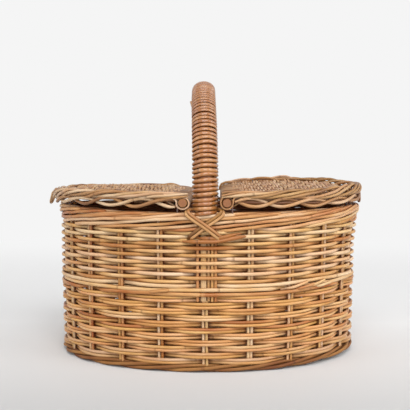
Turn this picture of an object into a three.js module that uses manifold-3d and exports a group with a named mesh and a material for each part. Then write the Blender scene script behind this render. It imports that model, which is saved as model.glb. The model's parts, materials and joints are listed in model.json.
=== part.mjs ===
// Oval cane picnic basket: woven wall, lapped arch handle and two half lids hinged beside the handle.
// Millimetres, +Z up, long axis along X, handle arch across Y, origin at the centre of the foot.
import * as THREE from "three";
import { mergeVertices } from "three/addons/utils/BufferGeometryUtils.js";
import Module from "manifold-3d";

const wasm = await Module();
wasm.setup();

// Fits: the gap between canes that lie against each other, and of the lid's eyes on the hinge rod.
const clearance = 0.3;
const hingeRunning = 0.4;

// Wall: the oval line of the stakes at the rim, and how far it leans in from there down to the base.
const rimHalfLength = 190.5;
const rimHalfWidth = 136;
const leanAlong = 3.5;
const leanAcross = 3;

// Wall bands, from the floor up.
const footHeight = 8.5;
const lowerBandHeight = 81.4;
const midWaleHeight = 14.7;
const upperBandHeight = 63;
const rimWaleHeight = 11.8;
const rimBorderHeight = 10.5;

// Canes of the wall: an even count of stakes, so that the handle's legs stand at a front and a back one.
const postCount = 22;
const stakeDiameter = 3.8;
const weaverDiameter = 3.9;
const pairPitch = 7.4;
const singlePitch = 4.5;
const waleDepth = 4.4;
const rimWaleDepth = 6;
const innerWaleDepth = 3.6;
const rimBorderDepth = 12.6;
const footDepth = 12;
const grooveShare = 0.74;

// Base mat: paired canes woven in ovals, each over one stick and under the next.
const matThickness = 3.6;
const matSwing = 1.4;
const matRowPitch = 8.5;

// Handle.
const poleDiameter = 18;
const sideRodDiameter = 3.8;
const tongueWidth = 12;
const tongueReach = 106;
const handleStraight = 16.5;
const lappingThickness = 2.4;
const lappingPitch = 7.6;
const lappingGap = 0.7;
const lappingLift = 4.2;

// Hinge rods and their ties.
const hingeRodDiameter = 9.4;
const hingeSpread = 51;
const hingeLift = 1.4;
const rodOverrun = 1.2;
const tieWidth = 6;
const tieThickness = 2.5;

// Cross lashing and bow.
const lashWidth = 5.6;
const lashThickness = 2.2;
const lashDrop = 34;
const bowDiameter = 4;
const bowLeft = 22;
const bowRight = 44;

// Lids.
const hoopDiameter = 8;
const lidOverhang = 4.5;
const lidLift = 8.5;
const lidCrown = 4;
const crownRun = 24;
const eyeThickness = 3;
const eyeWidth = 6;
const ribDiameter = 3.4;
const ribSpacing = 30;
const lidRowPitch = 7.6;
const lidRowGap = 0.9;
const lidStrandThickness = 2;
const edgeTwistDiameter = 7.6;
const scallopLength = 41;
const pullReach = 8;
const pullDrop = 17;
const pullWidth = 20;
const pullDiameter = 2.8;

// Sizes that follow.
const baseHalfLength = rimHalfLength - leanAlong;
const baseHalfWidth = rimHalfWidth - leanAcross;
const lowerBandFloor = footHeight + clearance;
const midWaleFloor = lowerBandFloor + lowerBandHeight;
const upperBandFloor = midWaleFloor + midWaleHeight;
const rimWaleFloor = upperBandFloor + upperBandHeight;
const rimBorderFloor = rimWaleFloor + rimWaleHeight;
const rimTop = rimBorderFloor + rimBorderHeight;

const stakeHalfWidth = stakeDiameter + clearance / 2;
const eyeBore = hingeRodDiameter / 2 + hingeRunning;
const eyeOuter = eyeBore + eyeThickness;
const hingeX = hingeSpread / 2;
const hingeZ = rimTop + hingeLift + eyeOuter;
const tongueFloor = rimTop - tongueReach;
const sideRodSeat = tongueWidth / 2 + clearance + sideRodDiameter / 2;
const legHalfWidth = sideRodSeat + sideRodDiameter / 2;

function mesh(name, geometry, color, roughness) {
  const material = new THREE.MeshStandardMaterial({ color, roughness, metalness: 0 });
  const part = new THREE.Mesh(geometry, material);
  part.name = name;
  return part;
}

const canes = {
  stake: ["#d9b47c", 0.55],
  weaver: ["#dcb57c", 0.5],
  rim: ["#e3c08a", 0.5],
  base: ["#c99f66", 0.6],
  lapping: ["#bb8044", 0.45],
  pole: ["#b98a55", 0.55],
  rod: ["#a4683a", 0.5],
  lashing: ["#d8a868", 0.5],
  bow: ["#8a5630", 0.5],
  lid: ["#c39a68", 0.55],
};

// Joins rings of points, each of the same count, into one closed skin that faces out.
function loft(rings, { closed = false, shift = 0 } = {}) {
  const count = rings[0].length;
  const points = rings.flat();
  const index = [];
  const spans = closed ? rings.length : rings.length - 1;
  for (let i = 0; i < spans; i++) {
    const wraps = i === rings.length - 1;
    const here = i * count;
    const next = wraps ? 0 : here + count;
    const turn = wraps ? shift : 0;
    for (let k = 0; k < count; k++) {
      const k1 = (k + 1) % count;
      const n0 = next + ((k + turn) % count);
      const n1 = next + ((k1 + turn) % count);
      index.push(here + k, here + k1, n1, here + k, n1, n0);
    }
  }
  if (!closed) {
    for (const [start, order] of [[0, 1], [points.length - count, -1]]) {
      const ring = points.slice(start, start + count);
      const middle = new THREE.Vector3();
      ring.forEach((p) => middle.addScaledVector(p, 1 / count));
      const hub = points.push(middle) - 1;
      for (let k = 0; k < count; k++) {
        const k1 = (k + 1) % count;
        index.push(hub, start + (order > 0 ? k1 : k), start + (order > 0 ? k : k1));
      }
    }
  }
  let volume = 0;
  const cross = new THREE.Vector3();
  for (let i = 0; i < index.length; i += 3) {
    cross.crossVectors(points[index[i + 1]], points[index[i + 2]]);
    volume += points[index[i]].dot(cross);
  }
  if (volume < 0) {
    index.reverse();
  }
  const geometry = new THREE.BufferGeometry();
  const positions = points.flatMap((p) => [p.x, p.y, p.z]);
  geometry.setAttribute("position", new THREE.Float32BufferAttribute(positions, 3));
  geometry.setIndex(index);
  return geometry;
}

// A section of so many corners on an oval, as [out, up] pairs.
function roundSection(corners, halfDepth, halfHeight, turn = 0) {
  return Array.from({ length: corners }, (_, k) => {
    const angle = turn + (2 * Math.PI * k) / corners;
    return [halfDepth * Math.cos(angle), halfHeight * Math.sin(angle)];
  });
}

function toManifold(geometry) {
  const bare = new THREE.BufferGeometry();
  bare.setAttribute("position", geometry.getAttribute("position").clone());
  bare.setIndex(geometry.index ? geometry.index.clone() : null);
  const welded = mergeVertices(bare, 1e-4);
  return new wasm.Manifold(
    new wasm.Mesh({
      numProp: 3,
      vertProperties: new Float32Array(welded.getAttribute("position").array),
      triVerts: new Uint32Array(welded.index.array),
    }),
  );
}

function fromManifold(solid) {
  const out = solid.getMesh();
  const geometry = new THREE.BufferGeometry();
  geometry.setAttribute("position", new THREE.Float32BufferAttribute(out.vertProperties, 3));
  geometry.setIndex(Array.from(out.triVerts));
  return geometry;
}

const join = (geometries) => fromManifold(wasm.Manifold.union(geometries.map(toManifold)));

const cut = (geometry, tools) =>
  fromManifold(tools.map(toManifold).reduce((solid, tool) => solid.subtract(tool), toManifold(geometry)));

// A box given by its two opposite corners.
function boxBetween(low, high) {
  const box = new THREE.BoxGeometry(high[0] - low[0], high[1] - low[1], high[2] - low[2]);
  return box.translate((low[0] + high[0]) / 2, (low[1] + high[1]) / 2, (low[2] + high[2]) / 2);
}

// The outward direction of an oval at the angle u, where 0 is the front and a quarter turn is +X.
function ovalNormal(u, halfLength, halfWidth) {
  return new THREE.Vector2(Math.sin(u) / halfLength, -Math.cos(u) / halfWidth).normalize();
}

// A point of the wall at the angle u and height z, so far outside the line of the stakes.
function wallPoint(u, z, offset) {
  const rise = z / rimTop;
  const halfLength = THREE.MathUtils.lerp(baseHalfLength, rimHalfLength, rise);
  const halfWidth = THREE.MathUtils.lerp(baseHalfWidth, rimHalfWidth, rise);
  const out = ovalNormal(u, halfLength, halfWidth);
  return new THREE.Vector3(
    halfLength * Math.sin(u) + out.x * offset,
    -halfWidth * Math.cos(u) + out.y * offset,
    z,
  );
}

const wallRing = (u, z, offset, section) =>
  section.map(([out, up]) => wallPoint(u, z + up, offset + out));

// The posts stand at even angles, with the handle's legs at the front and back ones.
const postAngle = (i) => (2 * Math.PI * i) / postCount;
const isHandlePost = (i) => i % (postCount / 2) === 0;

// How far a weaver's centre stands off the stakes, so that its straight runs clear a stake's corners.
function findStandOff() {
  const seat = stakeDiameter / 2 + clearance + weaverDiameter / 2;
  const result = { outside: seat, inside: seat };
  for (let pass = 0; pass < 6; pass++) {
    for (let i = 0; i < postCount; i++) {
      const out = ovalNormal(postAngle(i), baseHalfLength, baseHalfWidth);
      const here = wallPoint(postAngle(i), 0, 0);
      const next = wallPoint(postAngle(i + 1), 0, 0);
      const step = new THREE.Vector2(next.x - here.x, next.y - here.y);
      const bend = -step.dot(out);
      const along = Math.sqrt(step.lengthSq() - bend * bend) - (isHandlePost(i + 1) ? legHalfWidth : 0);
      const swing = result.outside + result.inside;
      result.outside = Math.max(result.outside, seat + (stakeHalfWidth * (swing + bend)) / along);
      result.inside = Math.max(result.inside, seat + (stakeHalfWidth * (swing - bend)) / along);
    }
  }
  return result;
}
const standOff = findStandOff();

// A weaver climbs to its next row over three gaps that lie behind, between the back leg and the left end.
const climbSteps = 3;
const firstPost = postCount / 2 + climbSteps + 2;

// One weaver of a chased pair: outside one stake and inside the next, with the other weaver between its rows.
function weaver(firstRow, floor, rows, pitch, section) {
  const rings = [];
  for (let row = firstRow; row < rows; row += 2) {
    for (let step = 0; step < postCount; step++) {
      const climb = Math.max(0, step - (postCount - climbSteps)) / climbSteps;
      if (climb > 0 && row + 2 >= rows) {
        break;
      }
      const post = (firstPost + step) % postCount;
      const offset = (post + firstRow) % 2 ? standOff.outside : -standOff.inside;
      const z = floor + (row + 0.5 + 2 * climb) * pitch;
      const spread = isHandlePost(post) ? legHalfWidth / baseHalfLength : 0;
      for (const side of spread ? [-1, 1] : [0]) {
        rings.push(wallRing(postAngle(post) + side * spread, z, offset, section));
      }
    }
  }
  return loft(rings);
}

// A band is filled by a whole number of rows; the nominal pitch only sets how many.
const rowsIn = (height, pitch) => Math.round(height / pitch);

function band(floor, height, pitch, name, sectionOf) {
  const rows = rowsIn(height, pitch);
  const rowPitch = height / rows;
  const section = sectionOf((rowPitch - clearance) / 2);
  return ["a", "b"].map((letter, firstRow) =>
    mesh(`${name}_weaver_${letter}`, weaver(firstRow, floor, rows, rowPitch, section), ...canes.weaver),
  );
}

// Two rods lying together, as one section.
const pairSection = (halfHeight) => [
  [weaverDiameter / 2, -halfHeight / 2],
  [weaverDiameter / 2, halfHeight / 2],
  [0, halfHeight],
  [-weaverDiameter / 2, halfHeight / 2],
  [-weaverDiameter / 2, -halfHeight / 2],
  [0, -halfHeight],
];
const singleSection = (halfHeight) => roundSection(4, weaverDiameter / 2, halfHeight);

// A ring of three canes twisted together, along the wall at one height: a sixth of a turn at each post.
function ropeRing(floor, height, offset, depth, stepsPerPost) {
  const steps = postCount * stepsPerPost;
  const rings = [];
  for (let step = 0; step < steps; step++) {
    const twist = (Math.PI / 3) * (step / stepsPerPost);
    const section = roundSection(6, depth / 2, (height - clearance) / 2, twist);
    const lobed = section.map(([out, up], k) => (k % 2 ? [out * grooveShare, up * grooveShare] : [out, up]));
    rings.push(wallRing(postAngle(step / stepsPerPost), floor + height / 2, offset, lobed));
  }
  return loft(rings, { closed: true, shift: postCount % 6 });
}

const outerSeat = (depth) => stakeDiameter / 2 + clearance + depth / 2;
const rimReach = outerSeat(rimWaleDepth) + rimWaleDepth / 2;

// The plaited foot: flat below and on top, with a ridge that rises and falls twice between stakes.
function footBorder() {
  const half = footDepth / 2;
  const steps = postCount * 2;
  const rings = [];
  for (let step = 0; step < steps; step++) {
    const sway = (step % 2 ? 0.16 : -0.16) * footHeight;
    const section = [
      [half * 0.6, 0],
      [half, footHeight * 0.5 + sway],
      [half * 0.55, footHeight],
      [-half * 0.55, footHeight],
      [-half, footHeight * 0.5 - sway],
      [-half * 0.6, 0],
    ];
    rings.push(wallRing(postAngle(step / 2), 0, 0, section));
  }
  return loft(rings, { closed: true });
}

// The base mat inside the foot: rows drawn in from the foot's oval to a spine along the middle.
function baseMat() {
  const edge = footDepth / 2 + clearance;
  const rows = rowsIn(baseHalfWidth - edge, matRowPitch);
  const spine = 1 - baseHalfWidth / baseHalfLength;
  const rowRing = (row, side) =>
    Array.from({ length: postCount }, (_, k) => {
      const foot = wallPoint(postAngle(k), 0, -edge);
      const inward = row / rows;
      const swing = (row + k) % 2 ? matSwing : -matSwing;
      return new THREE.Vector3(
        foot.x * THREE.MathUtils.lerp(1, spine, inward),
        foot.y * (1 - inward),
        footHeight / 2 + swing + (side * matThickness) / 2,
      );
    });
  const face = (side) => Array.from({ length: rows }, (_, row) => rowRing(row, side));
  return loft([...face(1).reverse(), ...face(-1)]);
}

// One stake: two canes side by side, from the foot to the rim or to the handle's tongue.
function stake(i) {
  const width = stakeHalfWidth;
  const half = stakeDiameter / 2;
  const outline = [
    [half, width / 2],
    [half * 0.4, 0],
    [half, -width / 2],
    [0, -width],
    [-half, -width / 2],
    [-half * 0.4, 0],
    [-half, width / 2],
    [0, width],
  ];
  const top = isHandlePost(i) ? tongueFloor - clearance : rimBorderFloor - clearance;
  const rings = [lowerBandFloor, top].map((z) => {
    const foot = wallPoint(postAngle(i), z, 0);
    const out = ovalNormal(postAngle(i), rimHalfLength, rimHalfWidth);
    return outline.map(
      ([depth, side]) =>
        new THREE.Vector3(foot.x + out.x * depth - out.y * side, foot.y + out.y * depth + out.x * side, z),
    );
  });
  return loft(rings);
}

// The rim border, with a slot at the front and back where the handle's legs go down.
function rimBorder() {
  const offset = rimReach - rimBorderDepth / 2;
  const ring = ropeRing(rimBorderFloor, rimBorderHeight + clearance, offset, rimBorderDepth, 2);
  const slotHalf = legHalfWidth + clearance;
  const slotDepth = stakeDiameter / 2 + 2 * clearance;
  const slots = [-1, 1].map((side) =>
    boxBetween(
      [-slotHalf, side * rimHalfWidth - slotDepth, rimBorderFloor - 5],
      [slotHalf, side * rimHalfWidth + slotDepth, rimTop + 5],
    ),
  );
  return cut(ring, slots);
}

// The handle's line: up the front leg, over a half circle and down the back leg.
const springZ = rimTop + handleStraight;
const archLength = Math.PI * rimHalfWidth;

// A place on the handle's line, measured from the front spring of the arch, with its outward direction.
function handlePlace(s) {
  const angle = THREE.MathUtils.clamp(s / rimHalfWidth, 0, Math.PI);
  const below = Math.max(0, -s, s - archLength);
  const out = new THREE.Vector3(0, -Math.cos(angle), Math.sin(angle));
  const along = new THREE.Vector3(0, Math.sin(angle), Math.cos(angle));
  const centre = out.clone().multiplyScalar(rimHalfWidth).add(new THREE.Vector3(0, 0, springZ - below));
  return { centre, out, along, bent: s > 0 && s < archLength };
}

function handleRing(s, section) {
  const { centre, out } = handlePlace(s);
  return section.map(([side, lift]) => new THREE.Vector3(side, 0, 0).add(centre).addScaledVector(out, lift));
}

// The leg in the wall leans with the stakes, from the floor of the tongue to the rim.
function legRing(z, back, section) {
  const u = back ? Math.PI : 0;
  const foot = wallPoint(u, z, 0);
  const sign = back ? 1 : -1;
  return section.map(([side, lift]) => new THREE.Vector3(side, foot.y + sign * lift, z));
}

const tongueSection = [
  [0, stakeDiameter / 2],
  [tongueWidth / 2, stakeDiameter / 4],
  [tongueWidth / 2, -stakeDiameter / 4],
  [0, -stakeDiameter / 2],
  [-tongueWidth / 2, -stakeDiameter / 4],
  [-tongueWidth / 2, stakeDiameter / 4],
];
const poleSection = roundSection(6, poleDiameter / 2, poleDiameter / 2, Math.PI / 2).reverse();
const archSteps = 30;
const archStops = Array.from({ length: archSteps + 1 }, (_, i) => (archLength * i) / archSteps);

// Rings of a piece that runs the whole handle: leg, shoulder above the rim, arch, and down again.
function handleRings(legSection, archSection) {
  const shoulder = rimTop + clearance;
  const leg = (back) => [tongueFloor, shoulder].map((z) => legRing(z, back, legSection));
  return [...leg(false), ...archStops.map((s) => handleRing(s, archSection)), ...leg(true).reverse()];
}

const handlePole = () => loft(handleRings(tongueSection, poleSection));

const poleHalfWidth = (poleDiameter / 2) * Math.cos(Math.PI / 6);
const sideRodArchSeat = poleHalfWidth + clearance + sideRodDiameter / 2;

function handleSideRod(side) {
  const round = roundSection(4, sideRodDiameter / 2, sideRodDiameter / 2);
  const at = (seat) => round.map(([x, y]) => [side * seat + x, y]);
  return loft(handleRings(at(sideRodSeat), at(sideRodArchSeat)));
}

// The lapping goes round a six-cornered outline of pole and side rods, stood off by a given amount.
// Its slopes lie along the pole's own facets, out to the side rods.
function lappingOutline(standoff) {
  const peak = poleDiameter / 2;
  const side = sideRodArchSeat + sideRodDiameter / 2;
  const edge = Math.max(sideRodDiameter / 2, peak - side * Math.tan(Math.PI / 6));
  const slant = Math.hypot(side, peak - edge);
  const ridge = peak + (standoff * slant) / side;
  const flank = side + standoff;
  const corner = (side * peak + standoff * slant - (peak - edge) * flank) / side;
  return [[0, ridge], [flank, corner], [flank, -corner], [0, -ridge], [-flank, -corner], [-flank, corner]];
}
const lappingSeat = lappingOutline(clearance);
const lappingRidge = lappingOutline(clearance + lappingThickness);

// The section of the lapping's split cane at its corner j, flat on the pole and ridged outside.
function lappingRing(j, start, pitch) {
  const corners = lappingSeat.length;
  const { centre, out, along, bent } = handlePlace(start + pitch * (j / corners));
  const at = ([side, lift]) => new THREE.Vector3(side, 0, 0).add(centre).addScaledVector(out, lift);
  const seat = lappingSeat[j % corners];
  const squeeze = bent ? Math.min(1, 1 + seat[1] / rimHalfWidth) : 1;
  const half = (pitch * squeeze - lappingGap) / 2;
  const ahead = at(seat).addScaledVector(along, half);
  const behind = at(seat).addScaledVector(along, -half);
  return [at(lappingRidge[j % corners]), ahead, behind];
}

// The least distance between one turn of a lapping and the next, on points along the facing edges.
function leastGap(rings) {
  const corners = lappingSeat.length;
  const edge = (k, i) => {
    const points = [];
    for (let part = 0; part < 6; part++) {
      points.push(rings[k][i].clone().lerp(rings[k + 1][i], part / 6));
    }
    return points;
  };
  let least = Infinity;
  for (let k = 0; k + corners + 1 < rings.length; k++) {
    for (const p of edge(k, 1)) {
      for (const q of edge(k + corners, 2)) {
        least = Math.min(least, p.distanceTo(q));
      }
    }
  }
  return least;
}

// The lapping: three lengths of cane that follow each other, each let in at the handle's edge.
function handleLappings() {
  const start = lappingLift - handleStraight;
  const span = archLength - 2 * start;
  const names = ["front", "grip", "back"];
  const corners = lappingSeat.length;
  const turns = Math.round(span / (names.length * lappingPitch));
  const pitch = span / (turns * names.length);
  return names.map((name, i) => {
    const rings = [];
    for (let j = turns * corners * i + 2; j < turns * corners * (i + 1) + 2; j++) {
      rings.push(lappingRing(j, start, pitch));
    }
    console.log(`handle_lapping_${name}: least gap between turns ${leastGap(rings).toFixed(3)} mm`);
    return mesh(`handle_lapping_${name}`, loft(rings), ...canes.lapping);
  });
}

// A cylinder round the hinge line, from y0 to y1.
function hingeCylinder(radius, y0, y1, sides) {
  const cylinder = new THREE.CylinderGeometry(radius, radius, y1 - y0, sides);
  return cylinder.translate(hingeX, (y0 + y1) / 2, hingeZ);
}

const hoopHalfLength = rimHalfLength + rimReach + lidOverhang - hoopDiameter / 2;
const hoopHalfWidth = rimHalfWidth + rimReach + lidOverhang - hoopDiameter / 2;
const eyeAngle = Math.asin(hingeX / hoopHalfLength);
const eyeY = hoopHalfWidth * Math.cos(eyeAngle);
const tieY = eyeY - eyeWidth / 2 - 2 * clearance - tieWidth / 2;
const sleeveEnd = tieY - tieWidth / 2 - 2 * clearance;

// A hinge rod right across the basket, its ends a little proud of the lid's eyes.
function hingeRod() {
  const reach = eyeY + eyeWidth / 2 + rodOverrun;
  return hingeCylinder(hingeRodDiameter / 2, -reach, reach, 16);
}

// A tie: a cane ring round the hinge rod with a foot on the rim.
function rodTie(side) {
  const bore = hingeRodDiameter / 2 + clearance;
  const outer = bore + tieThickness;
  const y0 = side * tieY - tieWidth / 2;
  const foot = boxBetween(
    [hingeX - tieWidth / 2, y0, rimTop + clearance],
    [hingeX + tieWidth / 2, y0 + tieWidth, hingeZ - bore - tieThickness / 3],
  );
  const ring = hingeCylinder(outer, y0, y0 + tieWidth, 10);
  return cut(join([ring, foot]), [hingeCylinder(bore, y0 - 1, y0 + tieWidth + 1, 12)]);
}

// The front lashings: two flat straps that hook over the rim beside the handle and cross below it.
const lashTopX = lappingRidge[1][0] + clearance + lashWidth / 2;

function crossLashing(direction, layer) {
  const face = -(rimHalfWidth + rimReach + clearance + layer * (lashThickness + clearance));
  const top = rimTop + clearance + lashThickness;
  const half = lashWidth * Math.SQRT1_2;
  const x0 = direction * lashTopX;
  const x1 = -direction * lashTopX;
  const bottom = top - lashDrop;
  const outline = new THREE.Shape();
  outline.moveTo(x0 - lashWidth / 2, top);
  outline.lineTo(x0 + lashWidth / 2, top);
  outline.lineTo(x0 + lashWidth / 2, top - lashWidth);
  outline.lineTo(x1 + half, bottom);
  outline.lineTo(x1 - half, bottom);
  outline.lineTo(x0 - lashWidth / 2, top - lashWidth);
  const strap = new THREE.ExtrudeGeometry(outline, { depth: lashThickness, bevelEnabled: false });
  const hook = boxBetween(
    [x0 - lashWidth / 2, face - lashThickness, rimTop + clearance],
    [x0 + lashWidth / 2, -rimHalfWidth, top],
  );
  return join([strap.rotateX(Math.PI / 2).translate(0, face, 0), hook]);
}

// The bow: a loose cane under the cross, on a row that passes outside the handle's post, rising to the right.
function lashingBow(post) {
  const offset = standOff.outside + weaverDiameter / 2 + clearance + bowDiameter / 2;
  const rowPitch = upperBandHeight / rowsIn(upperBandHeight, singlePitch);
  const limit = (rimTop - lashDrop - bowDiameter / 2 - upperBandFloor) / rowPitch - 0.5;
  const firstRow = (post + 1) % 2;
  const row = firstRow + 2 * Math.floor((limit - firstRow) / 2);
  const z = upperBandFloor + (row + 0.5) * rowPitch;
  const section = roundSection(6, bowDiameter / 2, bowDiameter / 2);
  const bowSteps = 6;
  const rings = Array.from({ length: bowSteps + 1 }, (_, i) => {
    const x = THREE.MathUtils.lerp(-bowLeft, bowRight, i / bowSteps);
    const rise = x > lashTopX ? (x - lashTopX) * 0.15 : 0;
    return wallRing(x / rimHalfLength, z + rise, offset, section);
  });
  return loft(rings);
}

// How far the hoop has risen from its eyes to the lid's own level, and to its full girth.
const hoopRise = (x) => THREE.MathUtils.smoothstep(x, hingeX, hingeX + 3 * eyeOuter);
const eyeLift = eyeBore + eyeThickness / 2;

// Height of the lid's ribs over the hinge line: up from the sleeve to a flat crown, and down to the hoop.
function lidRise(x, y) {
  const top = lidLift + lidCrown;
  const fromSleeve = THREE.MathUtils.clamp((x - hingeX) / (2 * crownRun), 0, 1);
  const fromHoop = THREE.MathUtils.clamp((hoopX(y) - x) / crownRun, 0, 1);
  const rising = THREE.MathUtils.lerp(eyeLift, top, fromSleeve);
  const falling = THREE.MathUtils.lerp(lidLift, top, fromHoop);
  return Math.min(rising, falling);
}

// Points of the hoop: half an oval, from the front eye round the lid's end to the back eye.
function hoopRing(u, z, halfDepth, halfHeight, turn, corners) {
  const out = ovalNormal(u, hoopHalfLength, hoopHalfWidth);
  const x = hoopHalfLength * Math.sin(u);
  const y = -hoopHalfWidth * Math.cos(u);
  return roundSection(corners, halfDepth, halfHeight, turn).map(
    ([side, up]) => new THREE.Vector3(x + out.x * side, y + out.y * side, z + up),
  );
}

function hoopRings(steps, from, make) {
  return Array.from({ length: steps + 1 }, (_, i) => {
    const share = i / steps;
    return make(THREE.MathUtils.lerp(from, Math.PI - from, share), share);
  });
}

function lidHoop() {
  return loft(
    hoopRings(24, eyeAngle, (u) => {
      const rise = hoopRise(hoopHalfLength * Math.sin(u));
      const radius = THREE.MathUtils.lerp(eyeThickness, hoopDiameter / 2, rise);
      return hoopRing(u, hingeZ + THREE.MathUtils.lerp(eyeLift, lidLift, rise), radius, radius, 0, 6);
    }),
  );
}

const ribCount = 2 * Math.floor((hoopHalfWidth * 0.85) / ribSpacing) + 1;
const ribY = (i) => (i - (ribCount - 1) / 2) * ribSpacing;
const hoopX = (y) => hoopHalfLength * Math.sqrt(1 - (y / hoopHalfWidth) ** 2);

function lidRib(y) {
  const stops = [hingeX, hingeX + 2 * crownRun, hoopX(y) - crownRun, hoopX(y)];
  const section = roundSection(4, ribDiameter / 2, ribDiameter / 2);
  const at = (x) => section.map(([side, up]) => new THREE.Vector3(x, y + side, hingeZ + lidRise(x, y) + up));
  return loft(stops.map(at));
}

// The lid's frame: hoop, end eyes, rolled sleeve and ribs.
function lidFrame() {
  const eyes = [-1, 1].map((side) =>
    hingeCylinder(eyeOuter, side * eyeY - eyeWidth / 2, side * eyeY + eyeWidth / 2, 12),
  );
  const sleeve = hingeCylinder(eyeOuter, -sleeveEnd, sleeveEnd, 12);
  const ribs = Array.from({ length: ribCount }, (_, i) => lidRib(ribY(i)));
  const bore = hingeCylinder(eyeBore, -eyeY - 2 * eyeWidth, eyeY + 2 * eyeWidth, 16);
  return cut(join([lidHoop(), ...eyes, sleeve, ...ribs]), [bore]);
}

// The lid's weaver: to and fro across the ribs, over one and under the next, turning inside the hoop.
// Its section is a low ridge, flat below, that follows the slope of the lid.
function lidWeave() {
  const half = (lidRowPitch - lidRowGap) / 2;
  const edge = hoopDiameter / 2 + 2 * clearance;
  const innerLength = hoopHalfLength - edge;
  const innerWidth = hoopHalfWidth - edge;
  const reachAt = (x) => innerWidth * Math.sqrt(Math.max(0, 1 - (x / innerLength) ** 2));
  const firstX = hingeX + eyeOuter + 2 * clearance + half;
  const rows = Math.floor((innerLength * 0.93 - half - firstX) / lidRowPitch) + 1;
  const seat = ribDiameter / 2 + clearance + lidStrandThickness / 2;
  const swing = seat / (1 - ribDiameter / ribSpacing);
  const ribs = Array.from({ length: ribCount }, (_, i) => ribY(i));
  const margin = ribDiameter / 2 + 2 * clearance + half;
  const turnAt = (row) => {
    const limit = reachAt(firstX + Math.min(row, rows - 1) * lidRowPitch + half) - half;
    const blocking = ribs.filter((y) => y > 0 && Math.abs(y - limit) < margin);
    return blocking.length ? blocking[0] - margin : limit;
  };
  const path = [];
  for (let row = 0; row < rows; row++) {
    const x = firstX + row * lidRowPitch;
    const direction = row % 2 ? -1 : 1;
    const start = turnAt(row);
    const end = turnAt(row + 1);
    const crossed = ribs.filter((y) => direction * y > -start && direction * y < end);
    crossed.sort((p, q) => direction * (p - q));
    path.push([x, -direction * start, 0]);
    crossed.forEach((y) => path.push([x, y, (ribs.indexOf(y) + row) % 2 ? swing : -swing]));
    path.push([x, direction * end, 0]);
  }
  const onLid = (x, y, lift) => new THREE.Vector3(x, y, hingeZ + lidRise(x, y) + lift);
  const way = (p, q) => new THREE.Vector2(q[0] - p[0], q[1] - p[1]).normalize();
  const last = path.length - 1;
  const rings = path.map(([x, y, lift], i) => {
    const before = way(path[Math.max(0, i - 1)], path[Math.max(1, i)]);
    const after = way(path[Math.min(i, last - 1)], path[Math.min(i + 1, last)]);
    const mitre = before.clone().add(after).normalize();
    const reach = half / Math.max(0.5, mitre.dot(before));
    const low = lift - lidStrandThickness / 2;
    return [
      onLid(x - mitre.y * reach, y + mitre.x * reach, low),
      onLid(x, y, lift + lidStrandThickness / 2),
      onLid(x + mitre.y * reach, y - mitre.x * reach, low),
    ];
  });
  return loft(rings);
}

// The twist under the hoop: two canes wound round each other in long scallops.
function lidEdgeTwist() {
  const z = hingeZ + lidLift - hoopDiameter / 2 - clearance - edgeTwistDiameter / 2;
  const from = Math.asin((hingeX + 2 * eyeOuter) / hoopHalfLength);
  const way = (Math.PI - 2 * from) * Math.hypot(hoopHalfLength, hoopHalfWidth) * Math.SQRT1_2;
  const scallops = Math.round(way / scallopLength);
  return loft(
    hoopRings(4 * scallops, from, (u, share) => {
      const turn = share * scallops * Math.PI;
      const half = edgeTwistDiameter / 2;
      const out = ovalNormal(u, hoopHalfLength, hoopHalfWidth);
      const centre = new THREE.Vector3(hoopHalfLength * Math.sin(u), -hoopHalfWidth * Math.cos(u), z);
      return roundSection(4, half, half * 0.62).map(([long, short]) => {
        const side = long * Math.cos(turn) - short * Math.sin(turn);
        const up = long * Math.sin(turn) + short * Math.cos(turn);
        return centre.clone().add(new THREE.Vector3(out.x * side, out.y * side, up));
      });
    }),
  );
}

// The pull: a bent cane loop at the outer end, out from the hoop and down.
function lidPull() {
  const half = pullWidth / 2;
  const x0 = hoopX(half) + hoopDiameter / 2 + clearance;
  const x1 = x0 + pullReach - pullDiameter / 2;
  const z0 = hingeZ + lidLift;
  const line = new THREE.CatmullRomCurve3(
    [
      [x0, -half, z0],
      [x0 + (x1 - x0) * 0.6, -half, z0],
      [x1, -half * 0.95, z0 - pullDrop * 0.35],
      [x1, 0, z0 - pullDrop + pullDiameter / 2],
      [x1, half * 0.95, z0 - pullDrop * 0.35],
      [x0 + (x1 - x0) * 0.6, half, z0],
      [x0, half, z0],
    ].map((p) => new THREE.Vector3(...p)),
  );
  const section = new THREE.Shape();
  roundSection(5, pullDiameter / 2, pullDiameter / 2).forEach(([x, y], k) =>
    k ? section.lineTo(x, y) : section.moveTo(x, y),
  );
  return new THREE.ExtrudeGeometry(section, { steps: 14, extrudePath: line, bevelEnabled: false });
}

// A group turned half round about the vertical, for what stands again at the back or on the left.
function turned(parts, half) {
  const group = new THREE.Group();
  group.rotation.z = half ? Math.PI : 0;
  group.add(...parts);
  return group;
}

function lid(name) {
  return [
    mesh(`${name}_lid_frame`, lidFrame(), ...canes.lid),
    mesh(`${name}_lid_weave`, lidWeave(), ...canes.lid),
    mesh(`${name}_lid_edge_twist`, lidEdgeTwist(), ...canes.lid),
    mesh(`${name}_lid_pull`, lidPull(), ...canes.lid),
  ];
}

function lashing(name, post) {
  return [
    mesh(`${name}_lashing_under`, crossLashing(1, 0), ...canes.lashing),
    mesh(`${name}_lashing_over`, crossLashing(-1, 1), ...canes.lashing),
    mesh(`${name}_lashing_bow`, lashingBow(post), ...canes.bow),
  ];
}

function hinge(name, sides) {
  return [
    mesh(`${name}_hinge_rod`, hingeRod(), ...canes.rod),
    mesh(`${name}_rod_tie_${sides[0]}`, rodTie(-1), ...canes.lashing),
    mesh(`${name}_rod_tie_${sides[1]}`, rodTie(1), ...canes.lashing),
  ];
}

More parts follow.
